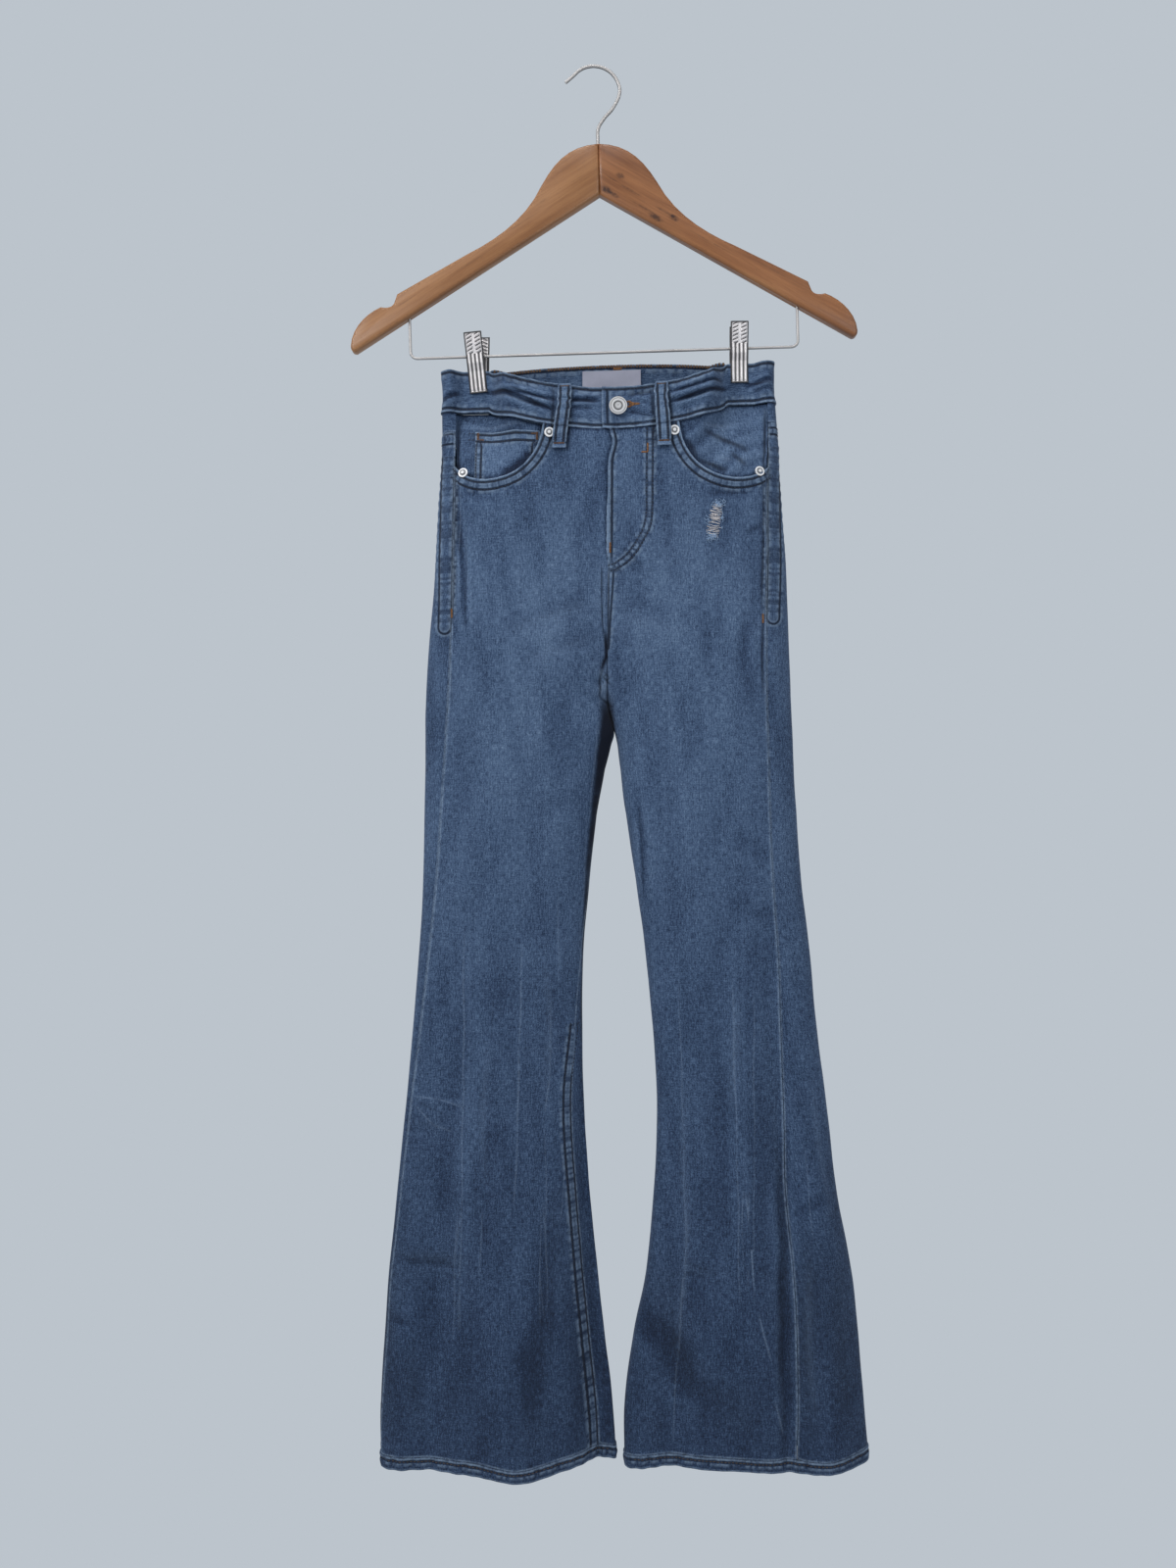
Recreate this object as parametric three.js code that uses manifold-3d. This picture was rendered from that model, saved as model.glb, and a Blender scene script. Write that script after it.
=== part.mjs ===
// Flared five-pocket jeans, hung by two steel clips from a wooden hanger.
//
// Millimetres, +Z up, the front faces -Y, and the wearer's right is at -X. The origin is the
// inside crown of the hanger's wire hook, where a rail or a peg carries everything.
//
// The cloth is one flattened tube that splits at the crotch into two legs. A place on it is
// given by a side, an angle round that side's half of the tube (0 the outer edge, 90 the
// front, 180 the inner edge or the centre seam, 270 the back) and a distance below the waist
// line. Every piece of cloth is a patch of that surface with a wall thickness.

import * as THREE from 'three';
import { mergeVertices } from 'three/addons/utils/BufferGeometryUtils.js';
import Module from 'manifold-3d';

const wasm = await Module();
wasm.setup();

// ---- Driving dimensions ----

const WAIST_Z = -270;
const WAIST_SLOPE = 0.03;
const CENTRE_X = 12.5;
const CROTCH = 300;
const LENGTH = 983;
const HEM_TALL = 11;
const HEM_DIP = 7;
const HEM_SWAY = 3.5;
const HEM_PROUD = 0.5;
const BAND_TALL = 37;
const FRONT_DIP = 22;
const BACK_RISE = 8.5;
const YOKE_SIDE = 18;
const YOKE_CENTRE = 58;

const CLOTH = 1.5;
const BAND_PROUD = 0.5;
const GAP = 0.3;
const LAYER = 0.5;
const ROUNDNESS = 0.75;

const GRIP = 2.2;
const GRIP_FLAT = 11.5;
const GRIP_EASE = 15;
const GRIP_BELOW = 22;
const GRIP_FADE = 110;

const HOOK_WIRE = 3;
const HOOK_RADIUS = 23.5;
const BAR_WIRE = 2.4;
const HANGER_TILT = 1.8;
const ARM_REACH = 227;
const ARM_THICK = 12;

const DENIM = 0x4a607e;
const DENIM_FADED = 0x54708f;
const ZIP_TAPE = 0x2c3442;
const SATIN = 0xd5d3e0;
const STEEL = 0xc9ccd0;
const BEECH = 0xa87a50;

// Half-depths of the body and legs, and how far the inner edge is still open to the other
// side: 1 at the waist, 0 from the crotch down, where each leg closes on itself.
const BODY = [
  { below: -12, front: 22, back: 20, open: 1 },
  { below: 37, front: 24, back: 23, open: 1 },
  { below: 75, front: 26, back: 28, open: 1 },
  { below: 120, front: 28, back: 33, open: 1 },
  { below: 180, front: 28, back: 37, open: 0.92 },
  { below: 240, front: 28, back: 38, open: 0.66 },
  { below: 275, front: 28, back: 37, open: 0.36 },
  { below: 300, front: 28, back: 36, open: 0 },
  { below: 350, front: 27, back: 33, open: 0 },
  { below: 460, front: 26, back: 27, open: 0 },
  { below: 600, front: 24, back: 25, open: 0 },
  { below: 740, front: 25, back: 26, open: 0 },
  { below: 870, front: 26, back: 28, open: 0 },
  { below: 990, front: 25, back: 28, open: 0 },
];

// The outer and inner edges of each half as it hangs, and how far its seams lie in from those
// edges on the front. A seam with a minus sign lies on the back.
const RIGHT = [
  { below: -12, outer: -137, inner: 12.5, outseam: 14, inseam: 0 },
  { below: 22, outer: -135, inner: 12.5, outseam: 13, inseam: 0 },
  { below: 37, outer: -136, inner: 12.5, outseam: 13, inseam: 0 },
  { below: 70, outer: -136, inner: 12.5, outseam: 13, inseam: 0 },
  { below: 120, outer: -139, inner: 12.5, outseam: 15, inseam: 0 },
  { below: 180, outer: -142, inner: 12.5, outseam: 17, inseam: 0 },
  { below: 240, outer: -147, inner: 12.4, outseam: 21, inseam: 0 },
  { below: 300, outer: -150.5, inner: 12.1, outseam: 22, inseam: 0 },
  { below: 335, outer: -151, inner: 16, outseam: 20, inseam: 0 },
  { below: 360, outer: -151, inner: 12, outseam: 18, inseam: 0 },
  { below: 400, outer: -151.5, inner: 3, outseam: 16, inseam: 0 },
  { below: 460, outer: -153, inner: -4, outseam: 13, inseam: 1 },
  { below: 530, outer: -157.5, inner: -9.5, outseam: 10, inseam: 3 },
  { below: 600, outer: -163, inner: -10, outseam: 7, inseam: 8 },
  { below: 670, outer: -170, inner: -8, outseam: 5, inseam: 12 },
  { below: 740, outer: -177, inner: -3, outseam: 4, inseam: 12 },
  { below: 810, outer: -184, inner: 3.5, outseam: 3, inseam: 13 },
  { below: 870, outer: -188, inner: 10.5, outseam: 3, inseam: 14 },
  { below: 930, outer: -191.5, inner: 17.5, outseam: 2, inseam: 15 },
  { below: 990, outer: -190, inner: 21, outseam: 1, inseam: 16 },
];
const LEFT = [
  { below: -12, outer: 162.5, inner: 12.5, outseam: 7, inseam: 0 },
  { below: 22, outer: 161.5, inner: 12.5, outseam: 7, inseam: 0 },
  { below: 37, outer: 163, inner: 12.5, outseam: 8, inseam: 0 },
  { below: 70, outer: 165.5, inner: 12.5, outseam: 10, inseam: 0 },
  { below: 120, outer: 168, inner: 12.5, outseam: 14, inseam: 0 },
  { below: 180, outer: 172, inner: 12.5, outseam: 18, inseam: 0 },
  { below: 240, outer: 174.5, inner: 12.6, outseam: 22, inseam: 0 },
  { below: 300, outer: 176.5, inner: 12.9, outseam: 24, inseam: 0 },
  { below: 335, outer: 178.5, inner: 17.4, outseam: 25, inseam: -1 },
  { below: 360, outer: 179.5, inner: 24, outseam: 25, inseam: -2 },
  { below: 400, outer: 181.5, inner: 29, outseam: 26, inseam: -4 },
  { below: 460, outer: 186, inner: 38, outseam: 28, inseam: -6 },
  { below: 530, outer: 194, inner: 47, outseam: 31, inseam: -8 },
  { below: 600, outer: 200.5, inner: 53.5, outseam: 35, inseam: -12 },
  { below: 670, outer: 209, inner: 57, outseam: 41, inseam: -18 },
  { below: 740, outer: 217.5, inner: 54, outseam: 48, inseam: -26 },
  { below: 810, outer: 230, inner: 47.5, outseam: 54, inseam: -34 },
  { below: 870, outer: 237, inner: 35.5, outseam: 58, inseam: -42 },
  { below: 930, outer: 242, inner: 27.5, outseam: 62, inseam: -50 },
  { below: 990, outer: 247, inner: 28, outseam: 68, inseam: -56 },
];
const SIDES = { right: RIGHT, left: LEFT };

// The largest folds: a soft trough (minus) or ridge along a line on one face of one side.
const FOLDS = [
  { side: 'right', face: 'front', x: -92, below: 8, toX: -44, toBelow: 36, wide: 8, deep: 2.5 },
  { side: 'left', face: 'front', x: 118, below: 6, toX: 72, toBelow: 34, wide: 8, deep: 2.5 },
  { side: 'right', face: 'front', x: -4, below: 640, toX: 6, toBelow: 1000, wide: 15, deep: -15 },
  { side: 'right', face: 'front', x: -66, below: 820, toX: -72, toBelow: 1000, wide: 34, deep: 9 },
  { side: 'right', face: 'front', x: -122, below: 560, toX: -148, toBelow: 1000, wide: 17, deep: -5 },
  { side: 'left', face: 'front', x: 158, below: 560, toX: 174, toBelow: 1000, wide: 12, deep: -5 },
  { side: 'left', face: 'front', x: 196, below: 720, toX: 212, toBelow: 1000, wide: 20, deep: 8 },
  { side: 'left', face: 'front', x: 88, below: 610, toX: 66, toBelow: 1000, wide: 18, deep: -6 },
  { side: 'right', face: 'back', x: -60, below: 540, toX: -52, toBelow: 1000, wide: 20, deep: -8 },
  { side: 'right', face: 'back', x: -110, below: 640, toX: -128, toBelow: 1000, wide: 26, deep: 6 },
  { side: 'left', face: 'back', x: 120, below: 560, toX: 112, toBelow: 1000, wide: 20, deep: -8 },
  { side: 'left', face: 'back', x: 160, below: 690, toX: 182, toBelow: 1000, wide: 24, deep: 6 },
  { side: 'right', face: 'back', x: -80, below: 296, toX: -14, toBelow: 330, wide: 12, deep: -5 },
  { side: 'left', face: 'back', x: 108, below: 300, toX: 44, toBelow: 328, wide: 12, deep: -5 },
];

// Scooped pocket mouths, from the waistband to the outseam.
const SCOOPS = {
  right: { start: -45, deep: 53, lift: 14 },
  left: { start: 75, deep: 58, lift: 13 },
};

const CLIPS = [
  { name: 'clip_right', x: -104.5, lean: 6, backLean: -3 },
  { name: 'clip_left', x: 130.5, lean: 0.5, backLean: -2 },
];

// Belt loops, lifted further off the band where it curves more.
const LOOPS = [
  { name: 'loop_front_right', face: 'front', x: -28, lift: 0.5 },
  { name: 'loop_front_left', face: 'front', x: 61, lift: 1 },
  { name: 'loop_back_right', face: 'back', x: -76, lift: 1 },
  { name: 'loop_back_middle', face: 'back', x: CENTRE_X, lift: 0.3 },
  { name: 'loop_back_left', face: 'back', x: 101, lift: 1 },
];
const LOOP_WIDE = 13;
const LOOP_UNDER = 20;
const LOOP_THICK = 2;
const LOOP_BOW = 1.4;

// ---- Small helpers ----

const radians = THREE.MathUtils.degToRad;
const degrees = THREE.MathUtils.radToDeg;
const clamp = THREE.MathUtils.clamp;
const mix = THREE.MathUtils.lerp;

function smooth(low, high, value) {
  return THREE.MathUtils.smoothstep(value, low, high);
}

// A column of a table at any distance below the waist, on a smooth curve through its rows.
function column(table, name, below) {
  const last = table.length - 1;
  let row = 0;
  while (row < last - 1 && table[row + 1].below < below) {
    row += 1;
  }
  const value = (index) => table[clamp(index, 0, last)][name];
  const span = table[row + 1].below - table[row].below;
  const t = clamp((below - table[row].below) / span, 0, 1);
  const before = (value(row + 1) - value(row - 1)) / 2;
  const after = (value(row + 2) - value(row)) / 2;
  const keep = 1 - 3 * t * t + 2 * t * t * t;
  const lead = t * (1 - t) * (1 - t);
  const tail = t * t * (t - 1);
  return value(row) * keep + value(row + 1) * (1 - keep) + before * lead + after * tail;
}

// How strongly the clips press the cloth flat at a place.
function squeeze(x, below) {
  const widen = 1 + Math.max(0, below - GRIP_BELOW) / 40;
  const near = Math.min(...CLIPS.map((clip) => Math.abs(x - clip.x)));
  const across = 1 - smooth(GRIP_FLAT, GRIP_FLAT + GRIP_EASE * widen, near);
  return across * (1 - smooth(GRIP_BELOW, GRIP_FADE, below));
}

// The share of the slack that the waist edge shows between the clips.
function slack(x) {
  const [first, second] = CLIPS;
  const t = (x - first.x - GRIP_FLAT) / (second.x - first.x - 2 * GRIP_FLAT);
  return Math.sin(Math.PI * clamp(t, 0, 1) ** 1.1) ** 0.8;
}

function foldHeight(side, face, x, below) {
  let height = 0;
  for (const fold of FOLDS) {
    if (fold.side === side && fold.face === face) {
      const runX = fold.toX - fold.x;
      const runBelow = fold.toBelow - fold.below;
      const length = Math.hypot(runX, runBelow);
      const along = ((x - fold.x) * runX + (below - fold.below) * runBelow) / length;
      const beside = ((x - fold.x) * runBelow - (below - fold.below) * runX) / length;
      const fade = smooth(-0.25 * length, 0.3 * length, along);
      const stop = 1 - smooth(length, length * 1.25, along);
      height += fold.deep * fade * stop * Math.exp(-((beside / fold.wide) ** 2));
    }
  }
  return height;
}

// ---- The surface of the cloth ----

function openness(below) {
  return below < CROTCH ? clamp(column(BODY, 'open', below), 0, 1) : 0;
}

function faceOf(angle) {
  return angle > 0 && angle <= 180 ? 'front' : 'back';
}

// A point on the outside of the cloth. Face says which side of the centre seam is meant at 180.
function surface(side, angle, below, face = faceOf(angle)) {
  const table = SIDES[side];
  const outer = column(table, 'outer', below);
  const inner = column(table, 'inner', below);
  const turn = radians(angle);
  const across = (1 - Math.cos(turn)) / 2;
  const x = mix(outer, inner, across);
  const round = Math.abs(Math.sin(turn)) ** ROUNDNESS;
  const open = across > 0.5 ? openness(below) : 0;
  const full = mix(round, 1, open);
  const pressed = squeeze(x, below);
  const loose = column(BODY, face, below) * full;
  const edge = smooth(0, 0.7, full);
  const depth = loose * (1 - pressed) + GRIP * full ** 0.3 * pressed;
  const y = depth + foldHeight(side, face, x, below) * edge * (1 - pressed);
  const z = WAIST_Z + WAIST_SLOPE * (x - CENTRE_X) - below;
  return new THREE.Vector3(x, face === 'front' ? -y : y, z);
}

// The point with its outward normal, taken from its neighbours on the same face.
function place(side, angle, below, face = faceOf(angle)) {
  const step = 0.6;
  const closed = openness(below) <= 0 || Math.abs(angle - 180) > step;
  const more = closed || face === 'back' ? angle + step : Math.min(angle + step, 180);
  const less = closed || face === 'front' ? angle - step : Math.max(angle - step, 180);
  const at = (value) => (closed ? surface(side, value, below) : surface(side, value, below, face));
  const round = at(more).sub(at(less));
  const down = surface(side, angle, below + 2, face).sub(surface(side, angle, below - 2, face));
  const normal = round.cross(down).normalize();
  if (side === 'right') {
    normal.negate();
  }
  return { point: surface(side, angle, below, face), normal };
}

// The angle at which a face of a side reaches a given x.
function angleAt(side, face, x, below) {
  const outer = column(SIDES[side], 'outer', below);
  const inner = column(SIDES[side], 'inner', below);
  const angle = degrees(Math.acos(clamp(1 - 2 * (x - outer) / (inner - outer), -1, 1)));
  return face === 'front' ? angle : 360 - angle;
}

// A seam's angle: its distance in from the outer or inner edge, minus on the back.
function seamAngle(side, name, below) {
  const inset = column(SIDES[side], name, below);
  const outer = column(SIDES[side], 'outer', below);
  const inner = column(SIDES[side], 'inner', below);
  const share = Math.abs(inset) / Math.abs(inner - outer);
  const turn = degrees(Math.acos(1 - 2 * share)) * Math.sign(inset);
  return name === 'outseam' ? turn : 180 - turn;
}

function bandTop(face, x) {
  return face === 'front' ? FRONT_DIP * slack(x) : -BACK_RISE * slack(x);
}

function bandBottom(face, x) {
  return bandTop(face, x) + BAND_TALL;
}

// The right leg's hem dips past its middle; the left leg's hangs lower towards its outer edge.
function hemLine(side, angle) {
  const across = (1 - Math.cos(radians(angle))) / 2;
  if (side === 'right') {
    return LENGTH - HEM_DIP + HEM_DIP * Math.exp(-(((across - 0.6) / 0.15) ** 2));
  }
  return LENGTH + HEM_SWAY * Math.sin(2 * Math.PI * across);
}

// ---- Solids from patches ----

// A closed wall over a grid of places: rows of columns, each a point with its normal. The wall
// runs from the outer to the inner offset, and its free edges draw back by half a seam gap.
// A ring's last column joins its first.
function wall(rows, outside, inside, { ring = false, trim = GAP / 2 } = {}) {
  const tall = rows.length;
  const wide = rows[0].length;
  const moved = rows.map((row) => row.map((cell) => cell.point.clone()));
  const draw = (point, neighbour) => {
    point.addScaledVector(neighbour.clone().sub(point).normalize(), trim);
  };
  for (let c = 0; c < wide; c += 1) {
    draw(moved[0][c], rows[1][c].point);
    draw(moved[tall - 1][c], rows[tall - 2][c].point);
  }
  if (!ring) {
    for (let r = 0; r < tall; r += 1) {
      draw(moved[r][0], rows[r][1].point);
      draw(moved[r][wide - 1], rows[r][wide - 2].point);
    }
  }
  const positions = [];
  for (const offset of [outside, inside]) {
    for (let r = 0; r < tall; r += 1) {
      for (let c = 0; c < wide; c += 1) {
        const spread = typeof offset === 'function' ? offset(r, c) : offset;
        const point = moved[r][c].clone().addScaledVector(rows[r][c].normal, spread);
        positions.push(point.x, point.y, point.z);
      }
    }
  }
  const index = [];
  const inner = tall * wide;
  const quad = (a, b, c, d) => index.push(a, b, c, a, c, d);
  const columns = ring ? wide : wide - 1;
  for (let r = 0; r < tall - 1; r += 1) {
    for (let c = 0; c < columns; c += 1) {
      const a = r * wide + c;
      const b = r * wide + (c + 1) % wide;
      quad(a, a + wide, b + wide, b);
      quad(inner + b, inner + b + wide, inner + a + wide, inner + a);
    }
  }
  for (let c = 0; c < columns; c += 1) {
    const next = (c + 1) % wide;
    const low = (tall - 1) * wide;
    quad(c, next, inner + next, inner + c);
    quad(inner + low + c, inner + low + next, low + next, low + c);
  }
  for (let r = 0; r < tall - 1 && !ring; r += 1) {
    const a = r * wide;
    const b = a + wide - 1;
    quad(a, inner + a, inner + a + wide, a + wide);
    quad(b + wide, inner + b + wide, inner + b, b);
  }
  const geometry = new THREE.BufferGeometry();
  geometry.setAttribute('position', new THREE.Float32BufferAttribute(positions, 3));
  geometry.setIndex(index);
  return facingOut(geometry);
}

// Turns every face round if the solid's volume comes out negative.
function facingOut(geometry) {
  const position = geometry.getAttribute('position');
  const index = geometry.getIndex().array;
  const corner = (i) => new THREE.Vector3().fromBufferAttribute(position, index[i]);
  let volume = 0;
  for (let i = 0; i < index.length; i += 3) {
    volume += corner(i).dot(corner(i + 1).cross(corner(i + 2)));
  }
  if (volume < 0) {
    for (let i = 0; i < index.length; i += 3) {
      [index[i], index[i + 1]] = [index[i + 1], index[i]];
    }
  }
  geometry.computeVertexNormals();
  return geometry;
}

// A grid of places between two edges, which are functions of the share across.
function patch(side, angleFor, upper, lower, columns, rowCount) {
  return steps(rowCount).map((mark) => steps(columns).map((share) => {
    const below = mix(upper(share), lower(share), mark);
    return place(side, angleFor(share, below), below);
  }));
}

function steps(count) {
  return Array.from({ length: count + 1 }, (unused, index) => index / count);
}

const jeans = new THREE.Group();
const hanger = new THREE.Group();

function add(parent, name, geometry, colour, roughness, metalness) {
  const material = new THREE.MeshStandardMaterial({ color: colour, roughness, metalness });
  const mesh = new THREE.Mesh(geometry, material);
  mesh.name = name;
  parent.add(mesh);
  return mesh;
}

function addCloth(name, geometry, colour = DENIM) {
  return add(jeans, name, geometry, colour, 0.9, 0);
}

// ---- Fronts, facings and the coin pocket ----

const SCOOP_COLUMNS = 7;
const PLAIN_COLUMNS = 7;
const FRONT_COLUMNS = SCOOP_COLUMNS + PLAIN_COLUMNS;
const SCOOP_HOLLOW = 3.5;
const SCOOP_DROP = 0.55;
const LEG_SPLIT = 0.46;
const HIP_LEVEL = 130;
const HIP_ROWS = 5;
const LEG_ROWS = 18;

// The scoop's edge, by the share from the waistband to the outseam.
function scoopEdge(side, share) {
  const { start, deep, lift } = SCOOPS[side];
  const curve = (1 - (1 - share) ** SCOOP_HOLLOW) ** SCOOP_DROP;
  return bandBottom('front', start) + deep * curve - lift * share ** 4;
}

// Columns run from the outseam to the scoop's start, then on to the centre or the inseam.
function frontAngle(side, share, below) {
  const split = SCOOP_COLUMNS / FRONT_COLUMNS;
  const first = seamAngle(side, 'outseam', below);
  const last = below < CROTCH ? 180 : seamAngle(side, 'inseam', below);
  const scoop = angleAt(side, 'front', SCOOPS[side].start, below);
  const middle = mix(scoop, mix(first, last, LEG_SPLIT), smooth(HIP_LEVEL, CROTCH, below));
  if (share < split) {
    return mix(first, middle, share / split);
  }
  return mix(middle, last, (share - split) / (1 - split));
}

function frontUpper(side, share) {
  const split = SCOOP_COLUMNS / FRONT_COLUMNS;
  if (share < split) {
    return scoopEdge(side, 1 - share / split);
  }
  const angle = frontAngle(side, share, BAND_TALL + FRONT_DIP);
  return bandBottom('front', surface(side, angle, BAND_TALL + FRONT_DIP).x);
}

// The rows first spread from the scoop down to a level line, then go on to the hem.
for (const side of ['right', 'left']) {
  const angleFor = (share, below) => frontAngle(side, share, below);
  const upper = (share) => frontUpper(side, share);
  const level = () => HIP_LEVEL;
  const hem = (share) => hemLine(side, angleFor(share, LENGTH)) - HEM_TALL;
  const hip = patch(side, angleFor, upper, level, FRONT_COLUMNS, HIP_ROWS);
  const leg = patch(side, angleFor, level, hem, FRONT_COLUMNS, LEG_ROWS);
  addCloth(`front_${side}`, wall([...hip, ...leg.slice(1)], 0, -CLOTH));
}

// The coin pocket takes five of the facing's eight columns, so that the two lie parallel.
const FACING_COLUMNS = 8;
const COIN = { firstColumn: 2, lastColumn: 7, top: 60, bottom: 114 };
const FACING_OFFSETS = { right: -(2 * CLOTH + 2 * LAYER), left: -(CLOTH + LAYER) };
const FACING_REACH = 1.12;
const FACING_UNDER = 22;
const FACING_STOP = 0.25;

function facingAngle(side, share, below) {
  return frontAngle(side, (share * FACING_REACH * SCOOP_COLUMNS) / FRONT_COLUMNS, below);
}

for (const side of ['right', 'left']) {
  const angleFor = (share, below) => facingAngle(side, share, below);
  const upper = (share) => {
    const angle = angleFor(share, BAND_TALL + FRONT_DIP);
    return bandBottom('front', surface(side, angle, BAND_TALL + FRONT_DIP).x) + 2 * GAP;
  };
  const lower = (share) => scoopEdge(side, Math.max(FACING_STOP, 1 - share * FACING_REACH)) + FACING_UNDER;
  const rows = patch(side, angleFor, upper, lower, FACING_COLUMNS, 6);
  const offset = FACING_OFFSETS[side];
  addCloth(`facing_${side}`, wall(rows, offset, offset - CLOTH));
}

{
  const { firstColumn, lastColumn, top, bottom } = COIN;
  const angleFor = (share, below) => {
    const at = mix(firstColumn, lastColumn, share) / FACING_COLUMNS;
    return facingAngle('right', at, below);
  };
  const rows = patch('right', angleFor, () => top, () => bottom, lastColumn - firstColumn, 3);
  const offset = -(CLOTH + LAYER);
  addCloth('coin_pocket', wall(rows, offset, offset - CLOTH, { trim: 0 }), DENIM_FADED);
}

// ---- Yokes, backs and back pockets ----

const BACK_COLUMNS = 14;

function backAngle(side, share, below) {
  const first = below < CROTCH ? 180 : seamAngle(side, 'inseam', below);
  const last = 360 + seamAngle(side, 'outseam', below);
  return mix(first, last, share);
}

// The back runs on past the outer edge to the outseam on the front, and its top edge with it.
function backTop(side, share) {
  const angle = backAngle(side, share, BAND_TALL);
  const face = angle > 360 ? 'front' : 'back';
  return bandBottom(face, surface(side, angle % 360, BAND_TALL, face).x);
}

// A grid of places on the back, from the inseam to the outseam, between two edges.
function backPatch(side, upper, lower, rowCount) {
  return steps(rowCount).map((mark) => steps(BACK_COLUMNS).map((share) => {
    const below = mix(upper(share), lower(share), mark);
    const angle = backAngle(side, share, below);
    const face = angle > 360 || angle < 180 ? 'front' : 'back';
    return place(side, angle % 360, below, face);
  }));
}

for (const side of ['right', 'left']) {
  const top = (share) => backTop(side, share);
  const seam = (share) => top(share) + mix(YOKE_CENTRE, YOKE_SIDE, Math.min(1, share * 1.08));
  const level = () => HIP_LEVEL;
  const hem = (share) => hemLine(side, backAngle(side, share, LENGTH)) - HEM_TALL;
  addCloth(`yoke_${side}`, wall(backPatch(side, top, seam, 3), 0, -CLOTH, { trim: GAP }));
  const leg = backPatch(side, level, hem, LEG_ROWS);
  addCloth(`back_${side}`, wall([...backPatch(side, seam, level, 3), ...leg.slice(1)], 0, -CLOTH));
}

const POCKET = { out: 79, half: 56, taper: 7, top: 128, edge: 96, point: 24 };

for (const side of ['right', 'left']) {
  const { out, half, taper, top, edge, point } = POCKET;
  const middle = side === 'right' ? CENTRE_X - out : CENTRE_X + out;
  const rows = steps(5).map((mark) => steps(6).map((share) => {
    const from = 2 * share - 1;
    const below = top + mark * (edge + point * (1 - Math.abs(from)));
    const x = middle + from * mix(half, half - taper, mark);
    return place(side, angleAt(side, 'back', x, below), below, 'back');
  }));
  addCloth(`back_pocket_${side}`, wall(rows, 2 * LAYER + CLOTH, 2 * LAYER, { trim: 0 }));
}

// ---- Waistband, belt loops, zip and label ----

const TAB_END = 7;
const UNDERLAP_END = 46;
const UNDER = CLOTH + BAND_PROUD + GAP;

// Angles from the middle of a half to its outer edge, with one on each side of the clip.
function waistAngles(side) {
  const clip = CLIPS.find(({ name }) => name === `clip_${side}`);
  const edges = [clip.x - GRIP_FLAT, clip.x + GRIP_FLAT];
  const [outer, inner] = edges.map((x) => angleAt(side, 'front', x, 10)).sort((a, b) => a - b);
  const middle = [106, 94, 84, inner + 6];
  const edge = [0.8, 0.6, 0.4, 0.2].map((share) => outer * share);
  return [...middle, inner, (inner + outer) / 2, outer, ...edge];
}

// Places along the waist from the tab's end, round by the left side and the back, to the end
// that lies under the tab. Each says how far it has sunk under the tab, from 0 to 1.
function waistStations() {
  const ends = (list) => list.map(([x, sink]) => {
    const side = x > CENTRE_X ? 'left' : 'right';
    return { side, face: 'front', angle: angleAt(side, 'front', x, BAND_TALL), sink };
  });
  const run = (side, face, angles) => angles.map((angle) => (
    { side, face, angle: face === 'front' ? angle : 360 - angle, sink: 0 }
  ));
  const near = [180, 152, 134, 120];
  const left = waistAngles('left');
  const right = waistAngles('right');
  return [
    ...ends([[TAB_END, 0], [18, 0], [32, 0], [50, 0]]),
    ...run('left', 'front', left),
    ...run('left', 'back', [...near, ...left].reverse()),
    ...run('right', 'back', [...near.slice(1), ...right]),
    ...run('right', 'front', [...right].reverse()),
    ...ends([[-26, 0], [-12, 0.3], [2, 1], [14, 1], [30, 1], [UNDERLAP_END, 1]]),
  ];
}

{
  const stations = waistStations();
  const rows = steps(3).map((mark) => stations.map(({ side, face, angle }) => {
    const x = surface(side, angle, BAND_TALL, face).x;
    const below = bandTop(face, x) + BAND_TALL * mark;
    return place(side, angle, below, face);
  }));
  const outside = (r, c) => BAND_PROUD - UNDER * stations[c].sink;
  const inside = (r, c) => -CLOTH - UNDER * stations[c].sink;
  addCloth('waistband', wall(rows, outside, inside), DENIM_FADED);
}

// A grid of places between two distances across, which may lie on both sides of the centre.
function strip(face, from, to, top, tall, columns, rowCount) {
  return steps(rowCount).map((mark) => steps(columns).map((share) => {
    const x = mix(from, to, share);
    const side = x > CENTRE_X ? 'left' : 'right';
    const below = top + tall * mark;
    return place(side, angleAt(side, face, x, below), below, face);
  }));
}

for (const { name, face, x, lift } of LOOPS) {
  const rowCount = 6;
  const top = bandTop(face, x);
  const rows = strip(face, x - LOOP_WIDE / 2, x + LOOP_WIDE / 2, top, BAND_TALL + LOOP_UNDER, 2, rowCount);
  const inside = (r) => BAND_PROUD + lift + LOOP_BOW * Math.sin((Math.PI * r) / rowCount);
  addCloth(name, wall(rows, (r) => inside(r) + LOOP_THICK, inside, { trim: 0 }), DENIM_FADED);
}

const ZIP = { from: 5, to: 31, top: BAND_TALL + FRONT_DIP + 1, tall: 112, thick: 1.2 };
{
  const rows = strip('front', ZIP.from, ZIP.to, ZIP.top, ZIP.tall, 3, 5);
  const offset = -(CLOTH + LAYER);
  add(jeans, 'fly_zip', wall(rows, offset, offset - ZIP.thick, { trim: 0 }), ZIP_TAPE, 0.8, 0);
}

const LABEL = { from: -10, to: 43, under: 5, tall: 24, thick: 1 };
{
  const top = bandTop('back', CENTRE_X) + LABEL.under;
  const rows = strip('back', LABEL.from, LABEL.to, top, LABEL.tall, 4, 2);
  const offset = -(CLOTH + GAP);
  add(jeans, 'inner_label', wall(rows, offset, offset - LABEL.thick, { trim: 0 }), SATIN, 0.6, 0);
}

// ---- Hems ----

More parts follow.
